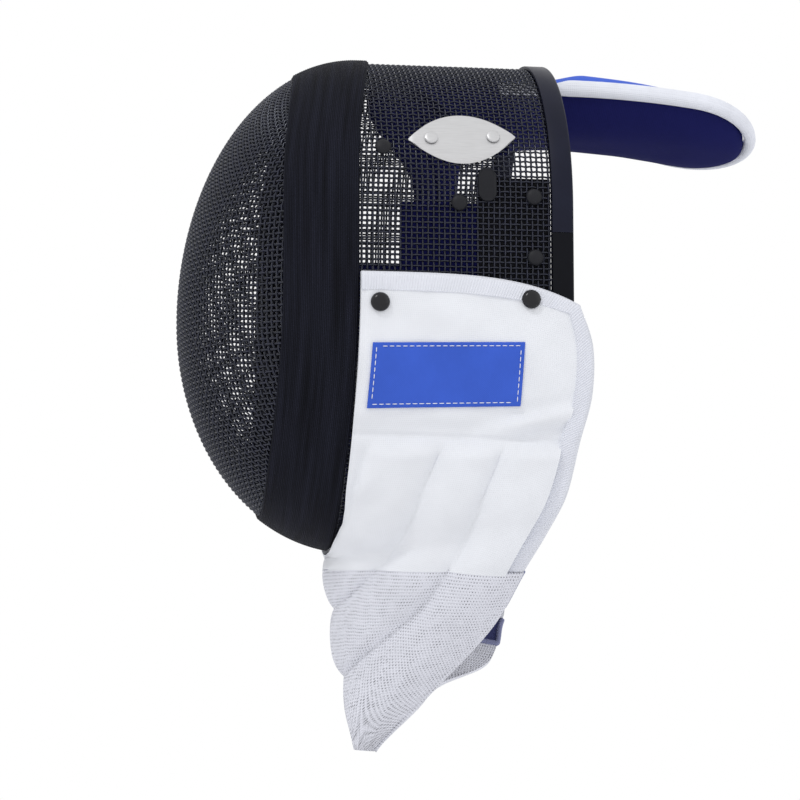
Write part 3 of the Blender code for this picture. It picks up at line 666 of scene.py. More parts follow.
def dome_net(up, count_up, count_out):
    """A quarter of the pressed wire cloth: every cell keeps its wire lengths, so the cells shear towards
    the diagonals as pressed mesh does. Rows run out to the right, columns up or down."""
    net = np.full((count_up, count_out, 3), np.nan)
    net[0] = dome_line((1.0, 0.0), count_out)
    net[:, 0] = dome_line((0.0, up), count_up)
    for diagonal in range(2, count_up + count_out - 1):
        i = np.arange(max(1, diagonal - count_out + 1), min(count_up, diagonal))
        j = diagonal - i
        below, inside, corner = net[i - 1, j], net[i, j - 1], net[i - 1, j - 1]
        point = on_dome(below + inside - corner)
        for _ in range(NET_PASSES):
            for anchor in (below, inside):
                gap = point - anchor
                length = np.linalg.norm(gap, axis=-1, keepdims=True)
                point = point + 0.8 * gap * (WIRE_PITCH / np.maximum(length, 1e-9) - 1)
            point = on_dome(point)
        net[i, j] = point
    return net


def dome_wires(finish):
    reach_up, reach_down, reach_out = 62, 56, 48
    top = dome_net(1.0, reach_up, reach_out)
    low = dome_net(-1.0, reach_down, reach_out)
    right = np.concatenate([low[:0:-1], top])
    left = right[:, :0:-1] * np.array([1, -1, 1])
    nodes = np.concatenate([left, right], axis=1)
    local = nodes - np.array([0, 0, NOSE_Z])
    share, _ = outline_share(local[..., 1], local[..., 2])
    outline = share_at(NOSE_Z + local[..., 2] / np.maximum(share, 1e-6))
    there = (nodes[..., 0] < band_front(outline) + UNDER_BAND) & (share < 0.985)
    run, rise = np.gradient(nodes, axis=1), np.gradient(nodes, axis=0)
    normals = facing(unit(np.cross(run, rise)), nodes - np.array([DOME_X, 0, NOSE_Z]))
    nodes = nodes - normals * MESH_WALL / 2
    return wire_cloth("face_wires", nodes, normals, there, DOME_WIRE, finish, "face_mesh", ["face_mesh"])


# Band and trim

def seam_band(finish):
    """Elastic band whose fine ribs run round the mask."""
    share = np.linspace(-1, 1, 240, endpoint=False)
    across = np.linspace(0, 1, 4 * BAND_RIBS + 1)
    acrosses, shares = grid(across, share)
    x = mix(band_rear(np.abs(shares)), band_front(np.abs(shares)), acrosses)
    edge = smooth(np.minimum(acrosses, 1 - acrosses) / 0.03)
    groove = RIB_DEPTH * (0.5 - 0.5 * np.cos(2 * pi * BAND_RIBS * acrosses))
    lift = FIT + BAND_THICKNESS * mix(0.45, 1.0, edge) - groove
    outer = mask_point(shares, x, lift)
    inner = mask_point(shares, x, FIT)
    band = walled("ribbed_band", outer, inner, finish, "seam_band", ["seam_band"], around=True)


def trim_section(share):
    """The clip's channel section with rounded rear corners, at each share of the rear edge."""
    above, below = FIT + TRIM_WALL, -MESH_WALL - FIT - TRIM_WALL
    back = FIT + TRIM_WALL
    chamfer, bevel = 0.0003, 0.0004
    corners = [(-TRIM_LEG, above - chamfer), (-TRIM_LEG + bevel, above)]
    for turn in np.linspace(0, pi / 2, 6):
        corners.append((back - TRIM_WALL * (1 - np.sin(turn)), above - TRIM_WALL * (1 - np.cos(turn))))
    for turn in np.linspace(pi / 2, 0, 6):
        corners.append((back - TRIM_WALL * (1 - np.sin(turn)), below + TRIM_WALL * (1 - np.cos(turn))))
    corners += [(-TRIM_LEG + bevel, below), (-TRIM_LEG, below + chamfer), (-TRIM_LEG, -MESH_WALL - FIT),
                (FIT, -MESH_WALL - FIT), (FIT, FIT), (-TRIM_LEG, FIT)]
    along, lift = np.array(corners).T
    return mask_point(share[:, None], rear_edge(np.abs(share))[:, None] + along, lift[None])


def trims(upper_finish, lower_finish):
    joint = share_at(CROWN_TOP - TRIM_JOINT_DROP)
    gap = FIT / HALF_RUN
    upper = np.linspace(-joint, joint, 161)
    lower = np.linspace(joint + gap, 2 - joint - gap, 181)
    lower = np.where(lower > 1, lower - 2, lower)
    from_rings("trim_arc", trim_section(upper), upper_finish, "trim_grey", ["rim_trim"], sharp=0.7)
    from_rings("trim_jaw", trim_section(lower), lower_finish, "trim_black", ["rim_lower"], sharp=0.7)


# Bib

def row_value(column, row):
    """A value of the bib's table between its listed rows, on a smooth curve."""
    low = np.clip(row.astype(int), 0, LAST_ROW - 1)
    share = row - low
    first, second = BIB_ROWS[low, column], BIB_ROWS[low + 1, column]
    before, after = BIB_ROWS[np.maximum(low - 1, 0), column], BIB_ROWS[np.minimum(low + 2, LAST_ROW), column]
    lead = np.where(low > 0, (second - before) / 2, second - first)
    tail = np.where(low + 2 <= LAST_ROW, (after - first) / 2, second - first)
    cube, square = share**3, share**2
    return ((2 * cube - 3 * square + 1) * first + (cube - 2 * square + share) * lead
            + (3 * square - 2 * cube) * second + (cube - square) * tail)


def swing_value(column, row):
    low = np.clip(row.astype(int), 0, LAST_ROW - 1)
    return mix(RIGHT_SWING[low, column], RIGHT_SWING[low + 1, column], smooth(row - low))


def front_height(row):
    upper = mix(BIB_TOP_Z, BIB_CHIN_Z, np.interp(row, range(CHIN_ROW + 1), BIB_ROWS[:CHIN_ROW + 1, FRONT]))
    throat = np.interp(row, range(CHIN_ROW, LAST_ROW + 1), [0.0, *BIB_ROWS[CHIN_ROW + 1:, FRONT]])
    return np.where(row <= CHIN_ROW, upper, BIB_CHIN_Z - BIB_THROAT * throat)


def front_width(row):
    """Half width of the bib's front edge, which closes under the chin."""
    lift = BIB_STANDOFF + BIB_THICKNESS * (1 - smooth((row - 4.3) / 0.7))
    fall_in = np.clip(JAW_Z - front_height(row), 0, JAW_DEPTH + lift) / (JAW_DEPTH + lift)
    return np.where(row < CHIN_ROW, (HALF_WIDTH + lift) * np.sqrt(1 - fall_in**2), 0.0)


def slack_width(row):
    """The same width behind the front edge, where the cloth passes the chin in one slack slope."""
    start, run = CHIN_ROW - 0.7, 1.1
    return front_width(np.minimum(row, start)) * (1 - smooth((row - start) / run))


def bib_point(side, row, across):
    """The bib's outer face before quilting: across runs from the front (0) to the rear edge (1)."""
    row, across = np.broadcast_arrays(np.asarray(row, float), np.asarray(across, float))
    wrap = row_value(WRAP, row)
    z = front_height(row)
    y = mix(front_width(row), slack_width(row), smooth(across / 0.16))
    x = band_rear(share_at(np.maximum(z, CHIN_Z))) + FIT + BIB_REACH * row_value(INSET, row)
    right = BIB_REACH * (side > 0)
    rear_x = BAND_REAR_SIDE + BIB_REACH * row_value(REAR_X, row) + right * swing_value(0, row)
    rear_y = BIB_SIDE * row_value(REAR_Y, row) - right * swing_value(1, row)
    rear_z = BIB_TOP_Z - BIB_HEIGHT * row_value(REAR_Z, row) - right * swing_value(2, row)
    along = mix(across, 1 - np.cos(across * pi / 2), wrap)
    out = mix(across, np.sin(across * pi / 2), wrap)
    fall = across ** mix(4.0, 1.2, smooth(row / 1.5))
    return stack(mix(x, rear_x, along), side * mix(y, rear_y, out), mix(z, rear_z, fall))


def bib_normal(side, row, across):
    step = 0.02
    row, across = np.broadcast_arrays(np.asarray(row, float), np.asarray(across, float))
    near_chin = (row > CHIN_ROW - 0.8) & (row < CHIN_ROW + 0.15)
    row = np.where(near_chin, mix(row, CHIN_ROW + 0.15, smooth((row - CHIN_ROW + 0.8) / 0.6)), row)
    row = np.clip(row, step, LAST_ROW - 0.3)
    across = np.clip(across, 0.08, 0.96)
    down = bib_point(side, row + step, across) - bib_point(side, row - step, across)
    back = bib_point(side, row, across + step) - bib_point(side, row, across - step)
    normal = unit(np.cross(down, back))
    return normal * np.where(normal[..., 1:2] * side < 0, -1, 1)


def quilt(row, across):
    """How far the padding stands out: three channels below the cross seam, each rounded between seams."""
    place = mix(across, 1 - np.cos(across * pi / 2), row_value(WRAP, row))
    b, c = row_value(LINE_B, row), row_value(LINE_C, row)
    # A flat margin at the front edge narrows to nothing at the chin
    margin = FRONT_MARGIN * np.clip((CHIN_ROW - row) / 2, 0, 1)
    # From the row above the chin down, the first line runs off the edge as line b does
    above_chin = CHIN_ROW - 1
    slide = np.minimum(0, b - BIB_ROWS[above_chin, LINE_B]) * smooth(row - above_chin)
    lines = (margin + slide, b, c, 0 * b + 1)
    height = 0 * place
    for low, high in zip(lines, lines[1:]):
        width = np.maximum(high - low, 1e-6)
        share = (place - low) / width
        bulge = np.sin(pi * np.clip(share, 0, 1)) ** 0.6 * np.minimum(width / 0.25, 1)
        height = np.where((share >= 0) & (share <= 1), bulge, height)
    return PUFF * height * smooth((row - 3) / 0.35) * smooth(LAST_ROW + 0.1 - row)


# Creases of the bib: from one (row, across) to another, how deep and how wide; below zero it is a fold
CREASES = [
    # row, across, row, across, depth, width
    (2.30, 0.99, 2.92, 0.60, -0.0024, 0.040),
    (2.12, 0.96, 2.75, 0.56, 0.0016, 0.035),
    (2.62, 0.99, 3.05, 0.74, 0.0014, 0.030),
    (2.80, 0.30, 2.85, 0.58, 0.0007, 0.030),
    (1.20, 0.90, 2.30, 0.86, -0.0008, 0.050),
    (3.20, 0.10, 4.60, 0.04, 0.0010, 0.035),
    (3.60, 0.20, 4.05, 0.10, -0.0010, 0.040),
    (4.10, 0.30, 4.50, 0.08, 0.0014, 0.035),
    (4.45, 0.34, 4.85, 0.12, -0.0010, 0.040),
    (3.30, 0.76, 5.40, 0.70, 0.0008, 0.040),
]


def creases(row, across):
    height = 0 * row
    for row_a, across_a, row_b, across_b, depth, width in CREASES:
        # A row is about a fifth of the bib's reach
        u, v = (row - row_a) * 0.2, across - across_a
        run_u, run_v = (row_b - row_a) * 0.2, across_b - across_a
        length = np.hypot(run_u, run_v)
        along = np.clip((u * run_u + v * run_v) / length**2, 0, 1)
        off = np.hypot(u - along * run_u, v - along * run_v)
        fade = np.sin(pi * np.clip(mix(0.1, 0.9, along), 0, 1))
        height = height - depth * fade * np.exp(-(off / width) ** 2)
    return height


def seam(distance, depth, width):
    """A sewn line's groove."""
    return -depth * np.exp(-(distance / width) ** 2)


def crumple(points, size, depth):
    """Slow uneven swelling of soft cloth."""
    flat = points.reshape(-1, 3) / size
    values = np.array([noise.noise(Vector(point)) for point in flat])
    return depth * values.reshape(points.shape[:2])


def bib_sheet(side, rows, columns, thickness, extra):
    """Outer and inner grids of one flap; extra(row, across) is added to the quilting."""
    row, across = grid(rows, columns)
    base = bib_point(side, row, across)
    normal = bib_normal(side, row, across)
    centre = (across == 0) & (row >= CHIN_ROW)
    normal[..., 1] = np.where(centre, 0, normal[..., 1])
    normal = unit(normal)
    height = quilt(row, across) + extra(row, across)
    height = height + crumple(base, 0.022, 0.0007) + crumple(base, 0.008, 0.00018)
    outer = base + normal * height[..., None]
    inner = base - normal * thickness
    behind = smooth((across[1:-1] - 0.06) / 0.16)
    near_chin = (0.5 * behind * np.exp(-((row[1:-1] - CHIN_ROW) / 0.55) ** 2))[..., None]
    for points in (outer, inner):
        # Slack cloth rounds the fold at the chin
        for _ in range(CHIN_PASSES):
            points[1:-1] = mix(points[1:-1], (points[:-2] + points[2:]) / 2, near_chin)
        points[..., 1] = np.where(centre, 0, points[..., 1])
    return outer, inner


def both_flaps(name, rows, columns, thickness, extra, finish, lining, slot, replaces, lining_rows=LAST_ROW):
    """Left and right flap as one piece, lined on the inside over the first lining_rows of its rows."""
    parts, flats, inside = [], [], []
    for side in (-1, 1):
        outer, inner = bib_sheet(side, rows, columns, thickness, extra)
        points, faces = wall(outer, inner)
        flat = flat_of(outer)
        # Counted from the rear edge, because the front edge turns sharply at the chin
        flat[..., 0] += 0.3 * (side > 0) - flat[:, -1:, 0]
        parts.append((points, faces))
        flats.append(np.tile(flat.reshape(-1, 3), (2, 1)))
        lined = np.repeat(rows - rows[0] <= lining_rows, len(columns)).astype(float)
        inside.append(np.concatenate([0 * lined, lined]))
    points, faces = joined(parts)
    piece = as_object(name, points, faces, finish, slot, replaces, np.concatenate(flats), sharp=1.2)
    mesh = piece.data
    mesh.materials.append(lining)
    inside = np.concatenate(inside)
    for polygon in mesh.polygons:
        if inside[list(polygon.vertices)].min() > 0.5:
            polygon.material_index = 1
    return piece


def weld_centre(piece):
    """Joins the two halves where they meet on the middle plane, and drops the faces left between them."""
    shape = bmesh.new()
    shape.from_mesh(piece.data)
    middle = [vertex for vertex in shape.verts if abs(vertex.co.y) < 1e-6]
    bmesh.ops.remove_doubles(shape, verts=middle, dist=1e-6)
    between = [face for face in shape.faces if all(abs(vertex.co.y) < 1e-6 for vertex in face.verts)]
    bmesh.ops.delete(shape, geom=between, context="FACES_ONLY")
    bmesh.ops.recalc_face_normals(shape, faces=shape.faces)
    shape.to_mesh(piece.data)
    shape.free()


def bib(cloth, knitted, tape, lining, edging):
    row_gap = 1.5 * FIT * LAST_ROW / BIB_HEIGHT
    tucked = TUCK * LAST_ROW / BIB_HEIGHT
    side_edge = 1 - TAPE_SHARE

    def sewn(row, across):
        cross_seam = seam(row - 3.0, 0.0011, 0.035) + seam(row - 2.93, 0.0018, 0.20)
        pucker = 0.00025 * np.sin(across * 2 * pi * 38) * np.exp(-((row - 3.0) / 0.10) ** 2)
        hem = seam(across - 0.012, 0.0006, 0.012) + seam(row - LAME_ROW, 0.0008, 0.03)
        return cross_seam + pucker + hem + creases(row, across)

    def knitted_folds(row, across):
        selvedge = seam(across - 1.0, -0.0010, 0.022) + seam(across - 0.955, 0.0006, 0.009)
        return seam(row - LAME_ROW, 0.0007, 0.03) + selvedge + creases(row, across)

    rows = np.concatenate([np.linspace(TAPE_ROWS - tucked, CHIN_ROW, 120),
                           np.linspace(CHIN_ROW, LAME_ROW + tucked, 28)[1:]])
    columns = np.linspace(0, side_edge + TUCK / BIB_REACH, 72)
    cloth_piece = both_flaps("padded_bib", rows, columns, BIB_THICKNESS, sewn, cloth, lining, "bib_cloth",
                             ["bib"])
    weld_centre(cloth_piece)
    rows = np.linspace(LAME_ROW, LAST_ROW, 90)
    tip = both_flaps("knitted_tip", rows, np.linspace(0, 1, 72), 0.8 * BIB_THICKNESS, knitted_folds, knitted,
                     lining, "lame_cloth", ["bib_lame"], lining_rows=HEM_ROW - LAME_ROW)
    weld_centre(tip)
    inner_binding(edging)
    for side, word in ((-1, "left"), (1, "right")):
        binding(f"bib_tape_{word}", side, row_gap, side_edge, tape, f"bib_binding_{word}")


def inner_binding(finish):
    """Narrow edging of the tip: down its rear edge and across its lining, where the knit turns inwards."""
    for side, word in ((-1, "left"), (1, "right")):
        row = np.concatenate([np.linspace(LAME_ROW, HEM_ROW, 60), np.full(80, HEM_ROW)])
        across = np.concatenate([np.full(60, 1.0), np.linspace(1.0, 0.45, 80)])
        normal = bib_normal(side, row, across)
        line = bib_point(side, row, across) - normal * 0.8 * BIB_THICKNESS
        radius = EDGING_RADIUS * (1 + 0.06 * np.cos(np.arange(len(row)) * 2.4))
        radius[[0, -1]] *= 0.6
        edging = from_rings(f"tip_edging_{word}", tube(line, radius, normal, sides=14), finish, "bib_tape")


def binding(name, side, row_gap, side_edge, finish, node):
    """Ribbed tape folded over the top and rear edges of a flap."""
    end = LAME_ROW - 0.5 * row_gap
    top = np.linspace(0, 1, 340)
    low = np.linspace(0, 1, 760)[1:]
    edge_row = np.concatenate([0 * top, low * end])
    edge_across = np.concatenate([top, 0 * low + 1])
    in_row = np.concatenate([0 * top + TAPE_ROWS - row_gap, mix(TAPE_ROWS - row_gap, end, low)])
    in_across = np.concatenate([top * side_edge, 0 * low + side_edge])
    width = np.linspace(0, 1, 8)
    row = mix(edge_row[:, None], in_row[:, None], width[None])
    across = mix(edge_across[:, None], in_across[:, None], width[None])
    base, normal = bib_point(side, row, across), bib_normal(side, row, across)
    ribs = 0.00027 * np.cos(2 * pi * run_along(base[:, 3]) / TAPE_RIB)[:, None]
    round_edge = 1 - (1 - np.clip(width / 0.22, 0, 1)) ** 2
    sewn = seam(width - 0.93, 0.0004, 0.06)
    body = mix(-0.0012, TAPE_LIFT + 0.0004, round_edge) + sewn + ribs * mix(0.3, 1.0, round_edge)
    outer = base + normal * body[..., None]
    tape = walled(name, outer, base - normal * BIB_THICKNESS, finish, "bib_tape", [node], sharp=1.2)


def bib_place(side, x, z):
    """Row and across of the points of the bib's face at these x and z."""
    row = np.full(np.shape(x), 1.0)
    across = np.full(np.shape(x), 0.5)
    for _ in range(SEARCH_PASSES):
        found = bib_point(side, row, across)
        row = np.clip(row + (found[..., 2] - z) / 0.06, 0.02, LAST_ROW - 0.1)
        across = np.clip(across + (x - found[..., 0]) / BIB_REACH * 0.5, 0.01, 0.99)
    return bib_point(side, row, across), bib_normal(side, row, across)


# Hardware

def frame_on(point, along, normal):
    """Turns a piece drawn flat (X along, Z out) onto a surface point."""
    point, along, normal = Vector(point), Vector(along), Vector(normal)
    along = (along - normal * along.dot(normal)).normalized()
    across = normal.cross(along)
    return Matrix.Translation(point) @ Matrix((along, across, normal)).transposed().to_4x4()


def side_frame(side, x, z, lift, tilt=0.0):
    share = side * share_at(z)
    step = 0.004
    down = mask_point(share + side * step, x, lift) - mask_point(share - side * step, x, lift)
    normal = unit(np.cross((1.0, 0, 0), down))
    normal = normal * np.sign(normal[1] * side)
    return frame_on(mask_point(share, x, lift), (1, 0, tilt), normal)


def turned(name, profile, radius, height, place, finish, slot, node, sides=40):
    """A head turned from its profile, set on a place."""
    turn = np.linspace(0, 2 * pi, sides, endpoint=False)
    rings = np.array([[(share * radius * np.cos(a), share * radius * np.sin(a), rise * height) for a in turn]
                      for share, rise in profile])
    points = np.array([place @ Vector(point) for point in rings.reshape(-1, 3)])
    return from_rings(name, points.reshape(rings.shape), finish, slot, [node], sharp=0.8)


def hardware(rivet_finish, stud_finish, plate_finish, tab_finish):
    rivets = [
        # x, drop below the crown
        (-0.0538, 0.0715),
        (-0.0104, 0.1040),
        (0.0333, 0.0995),
        (0.0339, 0.1350),
    ]
    studs = [(-0.0572, 0.1640), (0.0297, 0.1607)]
    for side, word in ((-1, "left"), (1, "right")):
        for number, (x, drop) in enumerate(rivets, 1):
            place = side_frame(side, x, CROWN_TOP - drop, FIT)
            turned(f"rivet_head_{word}_{number}", RIVET_PROFILE, RIVET_RADIUS, HEAD_SHARE * RIVET_RADIUS,
                   place, rivet_finish, "black_heads", f"mesh_rivet_{word}_{number}")
        for number, (x, drop) in enumerate(studs, 1):
            point, normal = bib_place(side, np.array(x), np.array(CROWN_TOP - drop))
            place = frame_on(point + normal * (TAPE_LIFT + 1.5 * FIT), (1, 0, 0), normal)
            turned(f"stud_head_{word}_{number}", STUD_PROFILE, STUD_RADIUS, HEAD_SHARE * STUD_RADIUS, place,
                   stud_finish, "black_heads", f"bib_stud_{word}_{number}")
    plate = badge_plate(plate_finish)
    flat_height = HEAD_SHARE * PLATE_RIVET_RADIUS * 0.7
    for number, share in enumerate((-PLATE_RIVET_SHARE, PLATE_RIVET_SHARE), 1):
        place = plate @ Matrix.Translation(Vector((share * PLATE_LENGTH, 0, PLATE_WALL + FIT)))
        turned(f"plate_rivet_head_{number}", FLAT_PROFILE, PLATE_RIVET_RADIUS, flat_height, place,
               plate_finish, "plate_metal", f"plate_rivet_{number}")
    size_tab(tab_finish)


def bent_on_mesh(name, along, up, x, drop, tilt, lift, *rest, sharp):
    """A flat drawing bent to the mesh on the left side, as a wall up to the lift."""
    share = share_at(CROWN_TOP - drop)
    turned_along = along * np.cos(tilt) - up * np.sin(tilt)
    turned_up = along * np.sin(tilt) + up * np.cos(tilt)
    outer, inner = (mask_point(turned_up / HALF_RUN - share, x + turned_along, level)
                    for level in (lift, FIT))
    return walled(name, outer, inner, *rest, sharp=sharp)


def badge_plate(finish):
    """Bare lens-shaped metal plate with softened edges."""
    along, up = grid(np.linspace(-1, 1, 81), np.linspace(-1, 1, 25))
    half = (1 - along**2) + 0.024
    near_edge = np.minimum(1 - np.abs(along) ** 6, 1 - np.abs(up) ** 14)
    lift = FIT + PLATE_WALL * mix(0.55, 1.0, smooth(near_edge / 0.5))
    bent_on_mesh("metal_plate", along * PLATE_LENGTH / 2, up * half * PLATE_HEIGHT / 2, PLATE_X, PLATE_DROP,
                 PLATE_TILT, lift, finish, "plate_metal", ["badge_plate"], sharp=0.6)
    return side_frame(-1, PLATE_X, CROWN_TOP - PLATE_DROP, FIT, PLATE_TILT)


def size_tab(finish):
    """Bare oblong tab with a raised rim."""
    up, across = grid(np.linspace(-1, 1, 61), np.linspace(-1, 1, 25))
    beyond = np.maximum(np.abs(up) * TAB_LENGTH - (TAB_LENGTH - TAB_WIDTH), 0) / TAB_WIDTH
    half = np.sqrt(np.maximum(1 - beyond**2, 0.004)) * TAB_WIDTH / 2
    reach = np.maximum(np.abs(across), beyond)
    rim = 1 - 0.28 * smooth((0.86 - reach) / 0.10)
    lift = FIT + TAB_WALL * rim * mix(0.5, 1.0, smooth((1 - reach) / 0.10))
    bent_on_mesh("oblong_tab", across * half, up * TAB_LENGTH / 2, TAB_X, TAB_DROP, 0.0, lift, finish,
                 "black_heads", ["size_tab"], sharp=0.7)


# Patch and stitches

def stitch_row(line, normals):
    """Short raised stitches along a line of points."""
    run = run_along(line)
    arch = np.array([0.0, 0.8, 1.0, 0.8, 0.0])
    radii = STITCH_RADIUS * np.array([0.55, 1.0, 1.0, 1.0, 0.55])
    parts = []
    for start in np.arange(STITCH_GAP / 2, run[-1] - STITCH_LENGTH, STITCH_LENGTH + STITCH_GAP):
        wanted = np.linspace(start, start + STITCH_LENGTH, 5)
        normal = at_runs(wanted, run, normals)
        middle = at_runs(wanted, run, line) + normal * (arch * STITCH_RADIUS)[:, None]
        rings = tube(middle, radii, normal, sides=6)
        parts.append((rings, capped(rings)))
    return parts


def label_patch(finish, thread):
    """Blue patch left bare, with a stitched border, sewn to the left flap."""
    centre_z = CROWN_TOP - PATCH_DROP

    def on_patch(along, up, lift):
        z = centre_z + up * PATCH_HEIGHT / 2 + along * PATCH_TILT * PATCH_LENGTH / 2
        x = PATCH_X + along * PATCH_LENGTH / 2 + PATCH_LEAN * (z - centre_z)
        point, normal = bib_place(-1, x, z)
        return point + normal * np.asarray(lift)[..., None], normal

    along, up = grid(np.linspace(-1, 1, 91), np.linspace(-1, 1, 41))
    from_edge = np.minimum((1 - np.abs(along)) * PATCH_LENGTH, (1 - np.abs(up)) * PATCH_HEIGHT) / 2
    sewn = seam(from_edge - STITCH_INSET, 0.00025, 0.0006)
    lift = FIT + PATCH_WALL * mix(0.6, 1.0, smooth(from_edge / 0.0008)) + sewn
    outer, _ = on_patch(along, up, lift)
    inner, _ = on_patch(along, up, FIT + 0 * along)
    patch = walled("plain_patch", outer, inner, finish, "patch_cloth", ["label_patch"], sharp=0.9)
    reach_x, reach_z = 1 - 2 * STITCH_INSET / PATCH_LENGTH, 1 - 2 * STITCH_INSET / PATCH_HEIGHT
    corners = [(-reach_x, -reach_z), (reach_x, -reach_z), (reach_x, reach_z), (-reach_x, reach_z)]
    parts = []
    for (x_a, z_a), (x_b, z_b) in zip(corners, corners[1:] + corners[:1]):
        share = np.linspace(0, 1, 60)
        top = FIT + PATCH_WALL + 0 * share
        parts += stitch_row(*on_patch(mix(x_a, x_b, share), mix(z_a, z_b, share), top))
    points, faces = joined(parts)
    as_object("patch_stitches", points, faces, thread, "bib_tape")


# Pads, strap and tongue

def pad_on_wall(name, share_low, share_high, x_low, x_high, depth, finish, slot, node, quilted=False):
    """A soft pad against the inside of the mesh, rounded towards its borders; x_low may change along it."""
    share, x = grid(np.linspace(share_low, share_high, 64), np.linspace(0, 1, 36))
    x = mix(np.broadcast_to(x_low, 64)[:, None], x_high, x)
    v = np.linspace(-1, 1, 64)[:, None] + 0 * x
    u = np.linspace(-1, 1, 36)[None] + 0 * x
    body = mix(0.30, 1.0, (np.clip(1 - np.abs(u) ** 5, 0, 1) * np.clip(1 - np.abs(v) ** 5, 0, 1)) ** 0.5)
    if quilted:
        body = body + seam(u, 0.16, 0.06) + seam(np.abs(v) - 0.45, 0.16, 0.03)
    outer = mask_point(share, x, -PAD_SEAT)
    inner = mask_point(share, x, -PAD_SEAT - depth * np.clip(body, 0.2, 1))
    made = walled(name, outer, inner, finish, slot, [node])


def pads(navy, black):
    wing = share_at(CROWN_TOP - CROWN_PAD_DROP)
    along = np.abs(np.linspace(-1, 1, 64))
    front = CROWN_PAD_FRONT + mix(-0.006, 0.032, smooth((along - 0.30) / 0.60))
    pad_on_wall("crown_cushion", -wing, wing, front, CROWN_PAD_REAR, CROWN_PAD, navy, "pad_cloth",
                "crown_pad", quilted=True)
    top, low = share_at(CROWN_TOP - SIDE_PAD_TOP), share_at(CROWN_TOP - SIDE_PAD_LOW)
    anchor_top, anchor_low = share_at(CROWN_TOP - ANCHOR_TOP), share_at(CROWN_TOP - ANCHOR_LOW)
    for side, word in ((-1, "left"), (1, "right")):
        pad_on_wall(f"side_cushion_{word}", side * top, side * low, SIDE_PAD_FRONT, 0.0, SIDE_PAD, navy,
                    "pad_cloth", f"side_pad_{word}")
        share, x = grid(np.linspace(side * anchor_top, side * anchor_low, 50),
                        np.linspace(ANCHOR_X, ANCHOR_X + ANCHOR_WIDTH, 60))
        ribs = 0.00012 * np.cos(2 * pi * x / 0.0014)
        outer, inner = (mask_point(share, x, lift) for lift in (-PAD_SEAT, -PAD_SEAT - STRAP_WALL + ribs))
        patch = walled(f"strap_patch_{word}", outer, inner, black, "strap_cloth", [f"strap_anchor_{word}"])
    back_strap(black)


def back_strap(finish):
    """Ribbed elastic strap from one anchor round behind the head to the other."""
    half = HALF_WIDTH - MESH_WALL - 2 * FIT - CHORD_SAG - STRAP_WALL
    low, high = CROWN_TOP - STRAP_LOW, CROWN_TOP - STRAP_TOP
    turn = np.linspace(-pi / 2, pi / 2, 180)
    ahead = np.linspace(STRAP_START, STRAP_BEND, 10, endpoint=False)
    x = np.concatenate([ahead, STRAP_BEND + STRAP_BOW * np.cos(turn), ahead[::-1]])
    y = np.concatenate([0 * ahead - half, half * np.sin(turn), 0 * ahead + half])
    run = unit(np.gradient(stack(x, y, 0 * x), axis=0))
    inward = stack(-run[:, 1], run[:, 0], 0 * x)
    height = np.linspace(0, 1, 73)
    ribs = 0.00025 * (0.5 - 0.5 * np.cos(2 * pi * STRAP_RIBS * height))[None, :, None]
    base = stack(x[:, None], y[:, None], mix(low, high, height)[None])
    outer, inner = (base + inward[:, None] * depth for depth in (ribs, STRAP_WALL - ribs))
    strap = walled("elastic_strap", outer, inner, finish, "strap_cloth", ["back_strap"])


def tongue_edge(share):
    start = 1 - TONGUE_HALF_WIDTH / TONGUE_LENGTH
    return np.sqrt(np.clip(1 - (np.maximum(share - start, 0) / (1 - start)) ** 2, 0, 1))


def tongue_point(share, across, rise, inset=0.0):
    """A point of the tongue: across -1..1 of its width, rise above or below the line of its edges."""
    width = (TONGUE_HALF_WIDTH - inset) * tongue_edge(share)
    x = TONGUE_ROOT_X + share * (TONGUE_LENGTH - inset)
    y = across * width
    root_z = CROWN_TOP - MESH_WALL - 2 * FIT - TRIM_WALL - FIT - TONGUE_CROWN
    z = root_z - TONGUE_DROOP * np.maximum(share - 0.20, 0.0) ** 1.6 + rise
    turn = TONGUE_TWIST * smooth(share)
    centre = root_z - 0.5 * TONGUE_DROOP
    return stack(x, y * np.cos(turn) + (z - centre) * np.sin(turn) * 0.5, z - y * np.sin(turn))


def tongue_body(share, across, full_height, edge_power):
    body = full_height * tongue_edge(share) ** 0.8 * mix(1.0, TONGUE_TAPER, share)
    return body * (1 - np.abs(across) ** edge_power)


